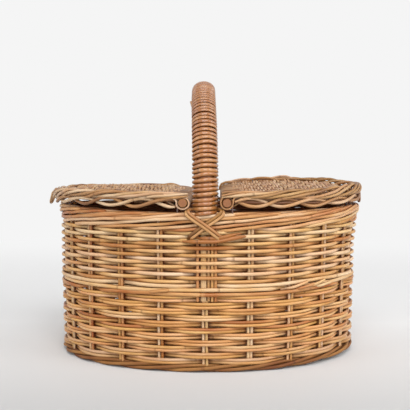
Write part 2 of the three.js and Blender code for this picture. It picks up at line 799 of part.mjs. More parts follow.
const basket = new THREE.Group();
basket.name = "cane_picnic_basket";
basket.add(mesh("base_mat", baseMat(), ...canes.base));
basket.add(mesh("foot_border", footBorder(), ...canes.rim));
for (let i = 0; i < postCount; i++) {
  basket.add(mesh(`stake_${String(i + 1).padStart(2, "0")}`, stake(i), ...canes.stake));
}
basket.add(...band(lowerBandFloor, lowerBandHeight, pairPitch, "lower", pairSection));
basket.add(...band(upperBandFloor, upperBandHeight, singlePitch, "upper", singleSection));
const midWale = ropeRing(midWaleFloor, midWaleHeight, outerSeat(waleDepth), waleDepth, 2);
basket.add(mesh("mid_wale_outer", midWale, ...canes.weaver));
const midLining = ropeRing(midWaleFloor, midWaleHeight, -outerSeat(innerWaleDepth), innerWaleDepth, 1);
basket.add(mesh("mid_wale_inner", midLining, ...canes.weaver));
const rimWale = ropeRing(rimWaleFloor, rimWaleHeight, outerSeat(rimWaleDepth), rimWaleDepth, 2);
basket.add(mesh("rim_wale_outer", rimWale, ...canes.rim));
const rimLining = ropeRing(rimWaleFloor, rimWaleHeight, -outerSeat(innerWaleDepth), innerWaleDepth, 1);
basket.add(mesh("rim_wale_inner", rimLining, ...canes.rim));
basket.add(mesh("rim_border", rimBorder(), ...canes.rim));
basket.add(mesh("handle_pole", handlePole(), ...canes.pole));
basket.add(mesh("handle_side_rod_left", handleSideRod(-1), ...canes.pole));
basket.add(mesh("handle_side_rod_right", handleSideRod(1), ...canes.pole));
basket.add(...handleLappings());
basket.add(turned(lashing("front", 0), false), turned(lashing("back", postCount / 2), true));
basket.add(turned(hinge("right", ["front", "back"]), false), turned(hinge("left", ["back", "front"]), true));
basket.add(turned(lid("right"), false), turned(lid("left"), true));

export default basket;
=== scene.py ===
"""Looks of a cane picnic basket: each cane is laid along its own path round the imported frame."""

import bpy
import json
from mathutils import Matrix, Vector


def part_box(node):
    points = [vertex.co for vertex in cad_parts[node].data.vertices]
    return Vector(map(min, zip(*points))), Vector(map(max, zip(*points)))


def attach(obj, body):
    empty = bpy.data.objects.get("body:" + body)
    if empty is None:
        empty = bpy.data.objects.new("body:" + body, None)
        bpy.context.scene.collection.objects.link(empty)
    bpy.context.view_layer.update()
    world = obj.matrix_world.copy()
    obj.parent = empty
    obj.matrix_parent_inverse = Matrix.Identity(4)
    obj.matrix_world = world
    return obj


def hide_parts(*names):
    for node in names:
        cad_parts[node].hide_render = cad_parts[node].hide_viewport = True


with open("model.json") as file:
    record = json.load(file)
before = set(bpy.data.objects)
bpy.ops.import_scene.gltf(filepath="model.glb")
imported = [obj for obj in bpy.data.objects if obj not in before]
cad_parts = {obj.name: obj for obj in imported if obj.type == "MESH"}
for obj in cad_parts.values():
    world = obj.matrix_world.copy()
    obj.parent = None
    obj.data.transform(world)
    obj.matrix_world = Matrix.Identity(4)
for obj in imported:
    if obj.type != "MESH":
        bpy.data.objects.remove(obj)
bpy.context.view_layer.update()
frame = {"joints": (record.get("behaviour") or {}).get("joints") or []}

import json
import math
from collections import namedtuple
from functools import partial

import bpy
import numpy as np
from mathutils import Vector

bl_info = {
    "name": "Cane Picnic Basket",
    "version": (1, 0, 0),
    "blender": (4, 5, 0),
    "location": "3D View > Sidebar > Basket",
    "description": "Weaves an oval picnic basket with a lapped handle and two hinged lids",
    "category": "Add Mesh",
}

HINGE = next(joint for joint in frame["joints"] if joint["name"] == "right_lid_hinge")
HINGE_X, _, HINGE_Z = HINGE["pos_m"]
RIM_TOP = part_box("rim_border")[1].z
TURN = 2 * math.pi
UP = (0, 0, 1)
ACROSS = (0, 1, 0)
# The stake pair at the left end where woven rows begin and end, counted from the front.
SEAM_POST = 16
# How far the handle's pole and lapping go down behind the rim, at each end.
TUCK = 0.004
# The radius of a lid's sleeve and of its end eyes, to the middle of their canes.
SLEEVE = 0.0068
EYE = 0.0071

# A cane's centre line: its points, the way its flat side faces, its girth along the way,
# whether it closes, and how far it is darkened along the way: mostly painted shade where it
# lies behind or under other canes, wear on the handle's grip, and the darker legs of the ties.
Strand = namedtuple("Strand", "points out girth closed stain")


def srgb(code):
    """An sRGB hex colour as linear red, green, blue and a full alpha."""
    parts = [int(code[i : i + 2], 16) / 255 for i in (1, 3, 5)]
    return tuple(c / 12.92 if c <= 0.04045 else ((c + 0.055) / 1.055) ** 2.4 for c in parts) + (1.0,)


def length(name, text, default):
    return bpy.props.FloatProperty(name=name, description=text, default=default, unit="LENGTH", precision=4)


def colour(name, text, code):
    return bpy.props.FloatVectorProperty(
        name=name, description=text, default=srgb(code), subtype="COLOR", size=4, min=0.0, max=1.0
    )


class BasketSizes(bpy.types.PropertyGroup):
    """Sizes of the weave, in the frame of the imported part."""

    posts: bpy.props.IntProperty(name="Stake pairs", description="Pairs of upright canes", default=22)
    half_length: length("Rim half length", "Stake line at the rim, along the basket", 0.1905)
    half_width: length("Rim half width", "Stake line at the rim, across the basket", 0.136)
    lean_along: length("Lean along", "How far the ends lean in at the base", 0.0035)
    lean_across: length("Lean across", "How far the sides lean in at the base", 0.003)
    lower_floor: length("Lower band", "Height at which the lower rows begin", 0.0088)
    wale_floor: length("Middle wale", "Height at which the middle wale begins", 0.0902)
    upper_floor: length("Upper band", "Height at which the single rows begin", 0.1049)
    rim_wale_floor: length("Rim wale", "Height at which the rim wale begins", 0.1679)
    rim_border_floor: length("Rim border", "Height at which the rim border begins", 0.1797)
    stake: length("Stake cane", "Diameter of one upright cane", 0.0038)
    weaver: length("Weaver cane", "Diameter of a woven cane", 0.0039)
    wale_cane: length("Wale cane", "Diameter of a wale's cane", 0.0047)
    border_cane: length("Border cane", "Diameter of the rim border's canes", 0.0044)
    tongue: length("Handle tongue", "Width of the handle's flat end in the wall", 0.012)
    tongue_floor: length("Tongue end", "Height of the tongue's lower end", 0.0842)
    pole: length("Handle pole", "Diameter of the arch under its lapping", 0.0178)
    arch: length("Handle arch", "Radius of the arch's middle line", 0.136)
    spring: length("Handle spring", "Height at which the arch begins", 0.2067)
    lap_pitch: length("Lapping pitch", "Distance from turn to turn", 0.0055)
    rod: length("Hinge rod", "Diameter of a hinge rod", 0.0102)
    hoop_length: length("Lid half length", "Middle of the lid's edge, along the basket", 0.1992)
    hoop_width: length("Lid half width", "Middle of the lid's edge, across the basket", 0.1447)
    lid_lift: length("Lid level", "Height of the lid's edge over its hinge", 0.0085)
    lid_crown: length("Lid crown", "Height of the lid's flat crown over its edge", 0.004)
    rib_pitch: length("Lid ribs", "Distance from rib to rib", 0.03)
    lid_row: length("Lid rows", "Distance from row to row in a lid", 0.0076)


class BasketColours(bpy.types.PropertyGroup):
    """Colours of the canes and of the stage."""

    straw_deep: colour("Straw deep", "Darkest of the wall's canes", "#A05A24")
    straw: colour("Straw", "Middle of the wall's canes", "#D5A56B")
    straw_pale: colour("Straw pale", "Palest of the wall's canes", "#E8CDA8")
    rim: colour("Rim", "Middle of the rim's canes", "#CB9A62")
    rust_deep: colour("Rust deep", "Darkest of the lower canes", "#985622")
    rust: colour("Rust", "Middle of the lower canes", "#D89F60")
    rust_pale: colour("Rust pale", "Palest of the lower canes", "#E6C59B")
    bark_deep: colour("Lapping deep", "Darkest of the handle's lapping", "#6A3E1C")
    bark: colour("Lapping", "Middle of the handle's lapping", "#A96C2F")
    bark_pale: colour("Lapping pale", "Palest of the handle's lapping", "#CF9B5A")
    lid_deep: colour("Lid deep", "Darkest of the lids' canes", "#74492A")
    lid: colour("Lid", "Middle of the lids' canes", "#C4925F")
    lid_pale: colour("Lid pale", "Palest of the lids' canes", "#F2D5B4")
    rod: colour("Hinge rod", "Middle of the hinge rods and bows", "#A4683A")
    # The foot's colours are darker than the wall's: painted shade at the foot.
    foot_deep: colour("Foot deep", "Darkest of the foot's canes", "#3E1606")
    foot: colour("Foot", "Middle of the foot's canes", "#743A18")
    tie: colour("Tie", "Middle of the ties and lashings", "#AC743F")
    tie_pale: colour("Tie pale", "Palest of the ties and lashings", "#CF9F69")
    # The paper before the basket is painted darker: painted shade.
    floor_near: colour("Floor near", "Plain paper before the basket", "#BCBCBC")
    floor: colour("Floor", "Plain paper behind the basket", "#F6F6F6")
    backdrop: colour("Backdrop", "Far part of the sweep", "#F5F5F5")


def xyz(x, y, z):
    """Points from their coordinates, a single value being spread along the rest."""
    return np.stack(np.broadcast_arrays(x, y, z), -1)


def smooth(low, high, x):
    """A smooth rise from 0 at low to 1 at high, or a fall where low is the greater."""
    t = np.clip((x - low) / (high - low), 0.0, 1.0)
    return t * t * (3 - 2 * t)


def wander(rng, t, size, wave):
    """A cane's own unevenness: a smooth sway of about that size and wave length along t."""
    total = np.zeros_like(t)
    for share, times in ((0.62, 1.0), (0.3, 2.0), (0.16, 5.0)):
        total += share * np.sin(TURN * times * t / wave + rng.uniform(0, TURN))
    return size * total


def walked(points):
    """How far along a path each of its points lies."""
    return np.concatenate([[0], np.cumsum(np.linalg.norm(np.diff(points, axis=0), axis=1))])


def unit(vectors):
    """Vectors brought to a length of one."""
    return vectors / np.maximum(np.linalg.norm(vectors, axis=-1), 1e-9)[..., None]


def oval(half, other_half, aside):
    """How far an oval of those half sizes reaches, so far aside of its middle."""
    return half * np.sqrt(np.clip(1 - (aside / other_half) ** 2, 0, 1))


def through(knots, count):
    """A smooth path of so many points through the knots."""
    knots = np.asarray(knots, float)
    padded = np.vstack([2 * knots[0] - knots[1], knots, 2 * knots[-1] - knots[-2]])
    place = np.linspace(0, len(knots) - 1, count)
    leg = np.minimum(place.astype(int), len(knots) - 2)
    f = (place - leg)[:, None]
    a, b, c, d = (padded[leg + i] for i in range(4))
    return 0.5 * (2 * b + (c - a) * f + (2 * a - 5 * b + 4 * c - d) * f**2 + (3 * b - a - 3 * c + d) * f**3)


def cane(points, out=UP, girth=1.0, closed=False, stain=0.0):
    """A strand whose flat side is turned square to its path."""
    points = np.asarray(points, float)
    along = np.roll(points, -1, 0) - np.roll(points, 1, 0)
    if not closed:
        along[0] = points[1] - points[0]
        along[-1] = points[-1] - points[-2]
    along = unit(along)
    face = np.broadcast_to(np.asarray(out, float), points.shape)
    face = unit(face - along * (face * along).sum(1)[:, None])
    count = len(points)
    return Strand(points, face, np.broadcast_to(girth, count), closed, np.broadcast_to(stain, count))


def bearing(s, t):
    """The angle from the front of places t, which are counted in stake pairs."""
    return TURN * t / s.posts


def wall(s, u, z, offset):
    """Points of the wall at angles u from the front, and the way out of it there."""
    rise = 1 - z / RIM_TOP
    a = s.half_length - s.lean_along * rise
    b = s.half_width - s.lean_across * rise
    out = unit(xyz(np.sin(u) / a, -np.cos(u) / b, 0.0))
    return xyz(a * np.sin(u), -b * np.cos(u), z) + out * np.asarray(offset)[..., None], out


def by_hand(points):
    """The wall as it was woven by hand: its rim sags between the ends, and its rows rise to the right end."""
    row_lift, rim_lift, rim_dip, flare, end = 0.0045, 0.005, 0.0013, 0.0034, 0.19
    x, y, z = points.T
    lifted = row_lift * smooth(0.06, end, x) * smooth(0.19, 0.11, z)
    sagging = (rim_lift * np.abs(x / end) ** 3 - rim_dip) * smooth(0.1, 0.19, z)
    swell = 1 + 0.0035 * np.sin(2 * np.arctan2(y, x) + 0.7 + 14 * z)
    drawn_in = 0.996 - 0.005 * smooth(0.0, -end, x)
    flared = flare * smooth(0.12, end, x) * smooth(0.135, 0.175, z)
    return xyz(drawn_in * x * swell + flared, y * swell, z + lifted + sagging)


def node(tree, kind, links=None, out=None, **settings):
    """Add a node, set it, fill or join its inputs, and give the named or else the first live output."""
    made = tree.nodes.new(kind)
    for key, value in settings.items():
        setattr(made, key, value)
    for key, value in (links or {}).items():
        if isinstance(value, bpy.types.NodeSocket):
            tree.links.new(value, made.inputs[key])
        else:
            made.inputs[key].default_value = value
    return made.outputs[out] if out else next((socket for socket in made.outputs if socket.enabled), None)


def emptied(owner):
    """Empty the node tree of a material or the world, and give the function that adds nodes to it."""
    owner.use_nodes = True
    owner.node_tree.nodes.clear()
    return partial(node, owner.node_tree)


def cane_tree():
    """The tree that lays canes along lines: a rounded section, slightly uneven, with a tint for each cane."""
    tree = bpy.data.node_groups.get("Canes along lines")
    if tree:
        return tree
    tree = bpy.data.node_groups.new("Canes along lines", "GeometryNodeTree")
    for name, kind in (
        ("Lines", "NodeSocketGeometry"),
        ("Width", "NodeSocketFloat"),
        ("Thickness", "NodeSocketFloat"),
        ("Sides", "NodeSocketInt"),
        ("Unevenness", "NodeSocketFloat"),
        ("Seed", "NodeSocketInt"),
        ("Finish", "NodeSocketMaterial"),
    ):
        tree.interface.new_socket(name, in_out="INPUT", socket_type=kind)
    tree.interface.new_socket("Canes", in_out="OUTPUT", socket_type="NodeSocketGeometry")
    add = partial(node, tree)
    given = add("NodeGroupInput").node.outputs
    canes = add("GeometryNodeMeshToCurve", {"Mesh": given["Lines"]})
    out = add("GeometryNodeInputNamedAttribute", {"Name": "cane_out"}, data_type="FLOAT_VECTOR")
    canes = add("GeometryNodeSetCurveNormal", {"Curve": canes, "Normal": out}, mode="FREE")
    girth = add("GeometryNodeInputNamedAttribute", {"Name": "cane_girth"}, data_type="FLOAT")
    # Lumps some 15 mm long.
    lumps = add("ShaderNodeTexNoise", {"W": given["Seed"], "Scale": 65.0}, noise_dimensions="4D")
    sway = add("ShaderNodeMath", {0: lumps, 1: 0.5}, operation="SUBTRACT")
    swell = add("ShaderNodeMath", {0: sway, 1: given["Unevenness"], 2: 1.0}, operation="MULTIPLY_ADD")
    size = add("ShaderNodeMath", {0: girth, 1: swell}, operation="MULTIPLY")
    run = add("GeometryNodeSplineParameter", out="Length")
    which = add("GeometryNodeCurveOfPoint", out="Curve Index")
    tint = add("FunctionNodeRandomValue", {"ID": which, "Seed": given["Seed"]}, data_type="FLOAT")
    for name, value in (("cane_run", run), ("cane_tint", tint)):
        kept = {"Geometry": canes, "Name": name, "Value": value}
        canes = add("GeometryNodeStoreNamedAttribute", kept, data_type="FLOAT", domain="POINT")
    ring = add("GeometryNodeCurvePrimitiveCircle", {"Resolution": given["Sides"], "Radius": 0.5})
    kept = {"Geometry": ring, "Name": "cane_around", "Value": add("GeometryNodeInputPosition")}
    ring = add("GeometryNodeStoreNamedAttribute", kept, data_type="FLOAT_VECTOR", domain="POINT")
    spread = add("ShaderNodeCombineXYZ", {"X": given["Thickness"], "Y": given["Width"], "Z": 1.0})
    section = add("GeometryNodeTransform", {"Geometry": ring, "Scale": spread})
    swept = {"Curve": canes, "Profile Curve": section, "Scale": size, "Fill Caps": True}
    laid = add("GeometryNodeCurveToMesh", swept)
    laid = add("GeometryNodeSetShadeSmooth", {"Geometry": laid, "Shade Smooth": True})
    laid = add("GeometryNodeRealizeInstances", {"Geometry": laid})
    laid = add("GeometryNodeSetMaterial", {"Geometry": laid, "Material": given["Finish"]})
    add("NodeGroupOutput", {"Canes": laid})
    return tree


def lay(
    name, strands, finish, nodes, slot, width,
    thickness=None, body="basket", sides=8, unevenness=0.16, seed=1, shape=None,
):
    """Make one piece of canes laid along strands, and let it stand for CAD nodes of a body."""
    strands = [cane(shape(strand.points), *strand[1:]) if shape else strand for strand in strands]
    edges, first = [], 0
    for strand in strands:
        place = first + np.arange(len(strand.points))
        links = np.stack([place, np.roll(place, -1)], -1)
        edges.append(links if strand.closed else links[:-1])
        first += len(place)
    lines = bpy.data.meshes.new(name + "_lines")
    lines.from_pydata(np.concatenate([strand.points for strand in strands]), np.concatenate(edges), [])
    for field, kind, key in (
        ("out", "FLOAT_VECTOR", "vector"),
        ("girth", "FLOAT", "value"),
        ("stain", "FLOAT", "value"),
    ):
        data = lines.attributes.new("cane_" + field, kind, "POINT").data
        data.foreach_set(key, np.concatenate([getattr(strand, field) for strand in strands]).ravel())
    piece = bpy.data.objects.new(name, lines)
    bpy.context.scene.collection.objects.link(piece)
    canes = piece.modifiers.new("Canes", "NODES")
    canes.node_group = cane_tree()
    values = {
        "Width": width,
        "Thickness": thickness or width,
        "Sides": sides,
        "Unevenness": unevenness,
        "Seed": seed,
        "Finish": finish,
    }
    for socket in canes.node_group.interface.items_tree:
        if socket.name in values:
            canes[socket.identifier] = values[socket.name]
    graph = bpy.context.evaluated_depsgraph_get()
    made = bpy.data.meshes.new_from_object(
        piece.evaluated_get(graph), preserve_all_data_layers=True, depsgraph=graph
    )
    piece.modifiers.remove(canes)
    piece.data = made
    made.name = name
    bpy.data.meshes.remove(lines)
    if not made.polygons:
        raise RuntimeError(f"{name} came out empty")
    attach(piece, body)
    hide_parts(*nodes)


# A finish's darkening is the strength of the painted shade on its canes' flanks.
def cane_finish(name, tones, roughness=0.42, coat=0.1, ring=0.31, stain=0.85, gloss=0.26):
    """A cane's skin: its tint, fibre streaks, dark joints, painted shade on its flanks and where its strand
    is darkened, and pith at a sawn end.
    """
    made = bpy.data.materials.get(name)
    if made:
        return made
    deep, middle, pale = tones
    made = bpy.data.materials.new(name)
    add = emptied(made)
    tint = add("ShaderNodeAttribute", out="Fac", attribute_name="cane_tint")
    run = add("ShaderNodeAttribute", out="Fac", attribute_name="cane_run")
    around = add("ShaderNodeAttribute", out="Vector", attribute_name="cane_around")
    strand_darkening = add("ShaderNodeAttribute", out="Fac", attribute_name="cane_stain")
    # Patches some 60 mm long, where a cane grew in more or less sun.
    shift = add("ShaderNodeMath", {0: tint, 1: 37.0}, operation="MULTIPLY")
    patch_at = add("ShaderNodeCombineXYZ", {"X": shift, "Z": run})
    patch = add("ShaderNodeTexNoise", {"Vector": patch_at, "Scale": 17.0, "Detail": 2.0})
    patchy = add("ShaderNodeMapRange", {"Value": patch, "From Min": 0.3, "From Max": 0.7}, clamp=True)
    own = add("ShaderNodeMath", {0: tint, 1: 0.62, 2: -0.06}, operation="MULTIPLY_ADD")
    level = add("ShaderNodeMath", {0: patchy, 1: 0.48, 2: own}, operation="MULTIPLY_ADD")
    ramp = add("ShaderNodeValToRGB", {"Fac": level})
    stops = ramp.node.color_ramp.elements
    stops[0].position, stops[0].color = 0.08, deep
    stops[1].position, stops[1].color = 0.92, pale
    stops.new(0.45).color = middle
    # Some canes are greener and some pinker than the rest.
    drawn = add("ShaderNodeMath", {0: tint, 1: 7.13}, operation="MULTIPLY")
    share = add("ShaderNodeMath", {0: drawn}, operation="FRACT")
    hue = add("ShaderNodeMapRange", {"Value": share, "To Min": 0.493, "To Max": 0.513})
    skin = add("ShaderNodeHueSaturation", {"Hue": hue, "Color": ramp})
    # Fibres run along the cane: about half a millimetre wide and 25 mm long.
    long = add("ShaderNodeMath", {0: run, 1: 40.0}, operation="MULTIPLY")
    far = add("ShaderNodeCombineXYZ", {"X": shift, "Z": long})
    wide = add("ShaderNodeVectorMath", {0: around, "Scale": 9.0}, operation="SCALE")
    fibre_at = add("ShaderNodeVectorMath", {0: wide, 1: far}, operation="ADD")
    fibre = add("ShaderNodeTexNoise", {"Vector": fibre_at, "Scale": 1.0, "Detail": 3.0})
    streaks = {"Value": fibre, "From Min": 0.35, "From Max": 0.72, "To Max": 0.46}
    streak = add("ShaderNodeMapRange", streaks, clamp=True)
    # A dark ring at each joint, about a foot apart.
    turn = add("ShaderNodeMath", {0: run, 1: 1 / ring}, operation="MULTIPLY")
    placed = add("ShaderNodeMath", {0: tint, 1: 9.1, 2: turn}, operation="MULTIPLY_ADD")
    part = add("ShaderNodeMath", {0: placed}, operation="FRACT")
    rings = {"Value": part, "From Min": 0.988, "From Max": 0.996, "To Max": 0.5}
    joint = add("ShaderNodeMapRange", rings, clamp=True)
    dark = tuple(c * 0.45 for c in deep[:3]) + (1.0,)
    # Painted shade: each cane is darkened on its flanks, where canes lie side by side, and wherever its
    # strand is marked darker, which is painted shade where it goes in behind the stakes or under other canes,
    # and wear on the handle's grip.
    across = add("ShaderNodeSeparateXYZ", {0: around}, out="X")
    flat = add("ShaderNodeMath", {0: across}, operation="ABSOLUTE")
    grooves = {"Value": flat, "From Min": 0.34, "From Max": 0.02, "To Max": stain}
    flank_shade = add("ShaderNodeMapRange", grooves, interpolation_type="SMOOTHSTEP")
    shade_and_wear_mask = add("ShaderNodeMath", {0: flank_shade, 1: strand_darkening}, operation="MAXIMUM")
    shade_and_wear_tone = (0.4 * deep[0], 0.18 * deep[1], 0.08 * deep[2], 1.0)
    # A sawn end shows the pith: inside the section's ring, with pores about half a millimetre wide.
    inward = add("ShaderNodeVectorMath", {0: around}, operation="LENGTH")
    sawn = add("ShaderNodeMapRange", {"Value": inward, "From Min": 0.47, "From Max": 0.43}, clamp=True)
    pores = add("ShaderNodeTexNoise", {"Vector": around, "Scale": 22.0, "Detail": 2.0})
    pore = add("ShaderNodeMapRange", {"Value": pores, "From Min": 0.4, "From Max": 0.62}, clamp=True)
    pith = add("ShaderNodeMix", {"Factor": pore, "A": deep, "B": middle}, data_type="RGBA")
    for factor, tone in ((streak, deep), (joint, dark), (shade_and_wear_mask, shade_and_wear_tone), (sawn, pith)):
        skin = add("ShaderNodeMix", {"Factor": factor, "A": skin, "B": tone}, data_type="RGBA")
    rough = {"Value": fibre, "To Min": roughness - 0.1, "To Max": roughness + 0.14}
    surface = {
        "Base Color": skin,
        "Roughness": add("ShaderNodeMapRange", rough),
        "Normal": add("ShaderNodeBump", {"Strength": 0.25, "Distance": 0.0004, "Height": fibre}),
        "Coat Weight": coat,
        "Coat Roughness": gloss,
        "Specular IOR Level": 0.35,
    }
    add("ShaderNodeOutputMaterial", {"Surface": add("ShaderNodeBsdfPrincipled", surface)})
    return made


def finishes():
    """The finishes of the basket's canes, by use."""
    colours = bpy.context.scene.basket_colours

    def tones(*names):
        return [tuple(getattr(colours, name)) for name in names]

    lid = tones("lid_deep", "lid", "lid_pale")
    close = [tuple(0.45 * np.array(tone) + 0.55 * np.array(lid[1])) for tone in lid]
    bark = tones("bark_deep", "bark", "bark_pale")
    foot = tones("foot_deep", "foot", "tie")
    tie = tones("bark_deep", "tie", "tie_pale")
    return {
        # Peeled rattan core, woven damp: a satin straw skin with honey patches and dark joints.
        "weave": cane_finish("Peeled rattan, woven", tones("straw_deep", "straw", "straw_pale")),
        # Peeled rattan core, plaited: the same straw skin, with strong painted shade in the grooves.
        "rim": cane_finish("Peeled rattan, plaited", tones("straw_deep", "rim", "straw_pale"), stain=0.92),
        # Older peeled rattan, woven: the lower rows, gone to honey and rust.
        "low": cane_finish("Peeled rattan, aged", tones("rust_deep", "rust", "rust_pale")),
        # Red-brown rattan, plaited: the foot, dull, its colours darker than the wall's as painted shade at
        # the foot.
        "foot": cane_finish("Stained rattan, plaited", foot, roughness=0.6, coat=0.0, stain=0.8),
        # Split rattan bark, tied: a tan tie with a satin skin.
        "tie": cane_finish("Rattan bark, tied", tie, roughness=0.4, stain=0.7),
        # Split rattan bark, wound: a browner, tighter and shinier skin.
        "bark": cane_finish(
            "Rattan bark, wound", bark, roughness=0.32, coat=1.0, ring=0.37, stain=0.7, gloss=0.14
        ),
        # Weathered rattan core, plaited: the same cane gone grey-brown where the sun reaches it.
        "lid": cane_finish("Weathered rattan, plaited", lid, roughness=0.46, stain=0.7),
        # The same grey-brown cane in the lids' close weave: its tints lie near together.
        "lid_rows": cane_finish("Weathered rattan, woven", close, roughness=0.5, stain=0.15),
        # Unpeeled rattan pole, sawn: a reddish rod.
        "rod": cane_finish("Rattan pole, sawn", tones("bark_deep", "rod", "bark"), stain=0.0),
    }


def stakes(s, rng):
    """Pairs of upright canes. The front and back pair stop under the handle's tongue."""
    foot, into_border = 0.005, 0.003
    for post in range(s.posts):
        under_tongue = post % (s.posts // 2) == 0
        top = s.tongue_floor if under_tongue else s.rim_border_floor + into_border
        z = np.linspace(foot, top, 26)
        points, out = wall(s, np.full_like(z, bearing(s, post)), z, 0.0)
        aside = xyz(-out[:, 1], out[:, 0], 0.0)
        for way in (-1, 1):
            reach = way * s.stake * 0.53 + wander(rng, z, 0.0004, 0.09)
            yield cane(points + aside * reach[:, None], out, 1 + rng.uniform(-0.06, 0.06))


def woven_row(s, rng, row, level, girth, leg_gain, sway, low_shade):
    """One cane round the wall, outside one stake pair and inside the next, its ends lapped at the left."""
    lap = 0.3
    first = SEAM_POST + row % 2
    last = first + s.posts
    t = np.arange(first - lap, last + lap, 0.125)
    u = bearing(s, t)
    swing = np.cos(math.pi * (t + row + 1))
    swing = swing + 0.22 * (1 - swing**2)
    # Beside the handle's tongues, front and back, a row stands out further.
    half = s.posts / 2
    near = np.exp(-(((t + half / 2) % half - half / 2) / 0.45) ** 2)
    swing = np.clip(swing * (1.06 + leg_gain * near), -1, 1)
    head = smooth(first + 0.5, first - lap, t)
    tail = smooth(last - 0.5, last + lap, t)
    stand = (s.stake + s.weaver) / 2
    offset = stand * swing + wander(rng, t, 0.00035, 3.1) - 0.0022 * head - 0.0004 * tail
    z = level + wander(rng, t, sway, 4.3) + 0.0011 * (tail - head)
    # The back is beaten down closer. A cane is darkened where it goes in behind a stake pair, and a low row
    # all along: painted shade.
    tight = 1 + 0.16 * smooth(-0.2, 0.5, -np.cos(u))
    stain = np.maximum(0.95 * smooth(-0.84, -0.97, swing), low_shade)
    return cane(*wall(s, u, z, offset), girth * tight * (1 + wander(rng, t, 0.035, 9.0)), stain=stain)


def band(s, rng, floor, top, height, beside, girth, uneven, leg_gain, sway, lowest_shade=0.0):
    """Rows about so high that fill a band, with a cane at each of the places beside a row's middle."""
    rows = round((top - floor) / height)
    pitch = (top - floor) / rows
    for row in range(rows):
        # The lowest rows are darkened, most at the bottom: painted shade near the foot.
        low_shade = lowest_shade * max(0.0, 1 - row / 4)
        for place in beside:
            level = floor + (row + 0.5 + place) * pitch
            thick = girth + rng.uniform(-uneven, uneven)
            yield woven_row(s, rng, row, level, thick, leg_gain, sway, low_shade)


def level_wale(s, rng):
    """Level canes that pass outside most stakes and behind every fifth, each row a step further on."""
    rows, inside_every, height = 3, 5, s.upper_floor - s.wale_floor
    stand = (s.stake + s.wale_cane) / 2
    t = np.arange(s.posts * 9) / 9
    for row in range(rows):
        offset = np.full_like(t, stand)
        for post in range(s.posts):
            if (post + 2 * row + 1) % inside_every == 0:
                gap = np.abs((t - post + s.posts / 2) % s.posts - s.posts / 2)
                offset -= 2 * stand * smooth(0.62, 0.12, gap)
        z = s.wale_floor + (row + 0.5) * height / rows + wander(rng, t, 0.0007, s.posts / 5)
        offset += wander(rng, t, 0.0004, s.posts / 7)
        for place in (offset, -stand):
            girth = 1.06 + wander(rng, t, 0.06, s.posts / 3)
            yield cane(*wall(s, bearing(s, t), z, place), girth, closed=True)
    # New canes are joined in here and there: their ends come out between the rows and are cut off slanting.
    joined = [(1.75, 0.0075), (1.95, 0.0045), (2.3, 0.0065), (2.52, 0.0035)]
    joined += [(9.4, 0.006), (13.6, 0.005), (20.6, 0.004)]
    t = np.linspace(0, 1, 12)
    offset = -0.002 + (stand + 0.0052) * smooth(0.0, 0.45, t)
    for post, rise in joined:
        z = s.wale_floor + 0.0022 + rise * 0.3 + rise * t
        yield cane(*wall(s, bearing(s, post + 0.62 * t), z, offset), 0.8)


def rim_wale(s, rng):
    """Canes that each come out from behind a stake, climb across the rim to its top edge and go in again."""
    span, inner_rows, lowered, cane_width = 5, 5, 0.0008, s.border_cane
    floor, top = s.rim_wale_floor - lowered, RIM_TOP - lowered
    stand = (s.stake + cane_width) / 2
    t = np.arange(-0.34, span + 0.35, 0.1)
    outside = smooth(0.05, 0.6, t) * smooth(span - 0.05, span - 0.5, t)
    climb = np.clip((t - 0.5) / (span - 1), 0, 1)
    over = stand + 0.0021 * smooth(0.35, 0.7, climb)
    for start in range(s.posts):
        z = floor + cane_width / 2 + (top - floor - cane_width) * climb + wander(rng, t, 0.0011, 3.3)
        offset = over * (2 * outside - 1) + wander(rng, t, 0.001, 2.7)
        girth = 0.97 + wander(rng, t, 0.06, 4.0) + rng.uniform(-0.12, 0.12)
        yield cane(*wall(s, bearing(s, start + t), z, offset), girth)
    t = np.arange(s.posts * 6) / 6
    # The inner rows, behind the climbing canes, are darkened: painted shade.
    for row in range(inner_rows):
        z = floor + (row + 0.5) * (top - floor) / inner_rows + wander(rng, t, 0.0004, s.posts / 4)
        offset = -stand + wander(rng, t, 0.0004, s.posts / 5)
        yield cane(*wall(s, bearing(s, t), z, offset), closed=True, stain=0.85)


def plait(s, rng, canes_in, turns, centre, z, depth, rise, per_post=8):
    """Canes twisted round a ring of the wall: one cane that closes after so many rounds."""
    whole = s.posts * canes_in
    t = np.arange(whole * per_post) / per_post
    phase = TURN * turns / canes_in * t / s.posts
    loose = 1 + wander(rng, t, 0.1, whole / 31)
    z = z + rise * np.sin(phase) * loose
    offset = centre + depth * np.cos(phase) * loose
    yield cane(*wall(s, bearing(s, t), z, offset), 1 + wander(rng, t, 0.05, whole / 23), closed=True)


class BasketOperator(bpy.types.Operator):
    """What the steps share: each can be undone"""

    bl_options = {"REGISTER", "UNDO"}


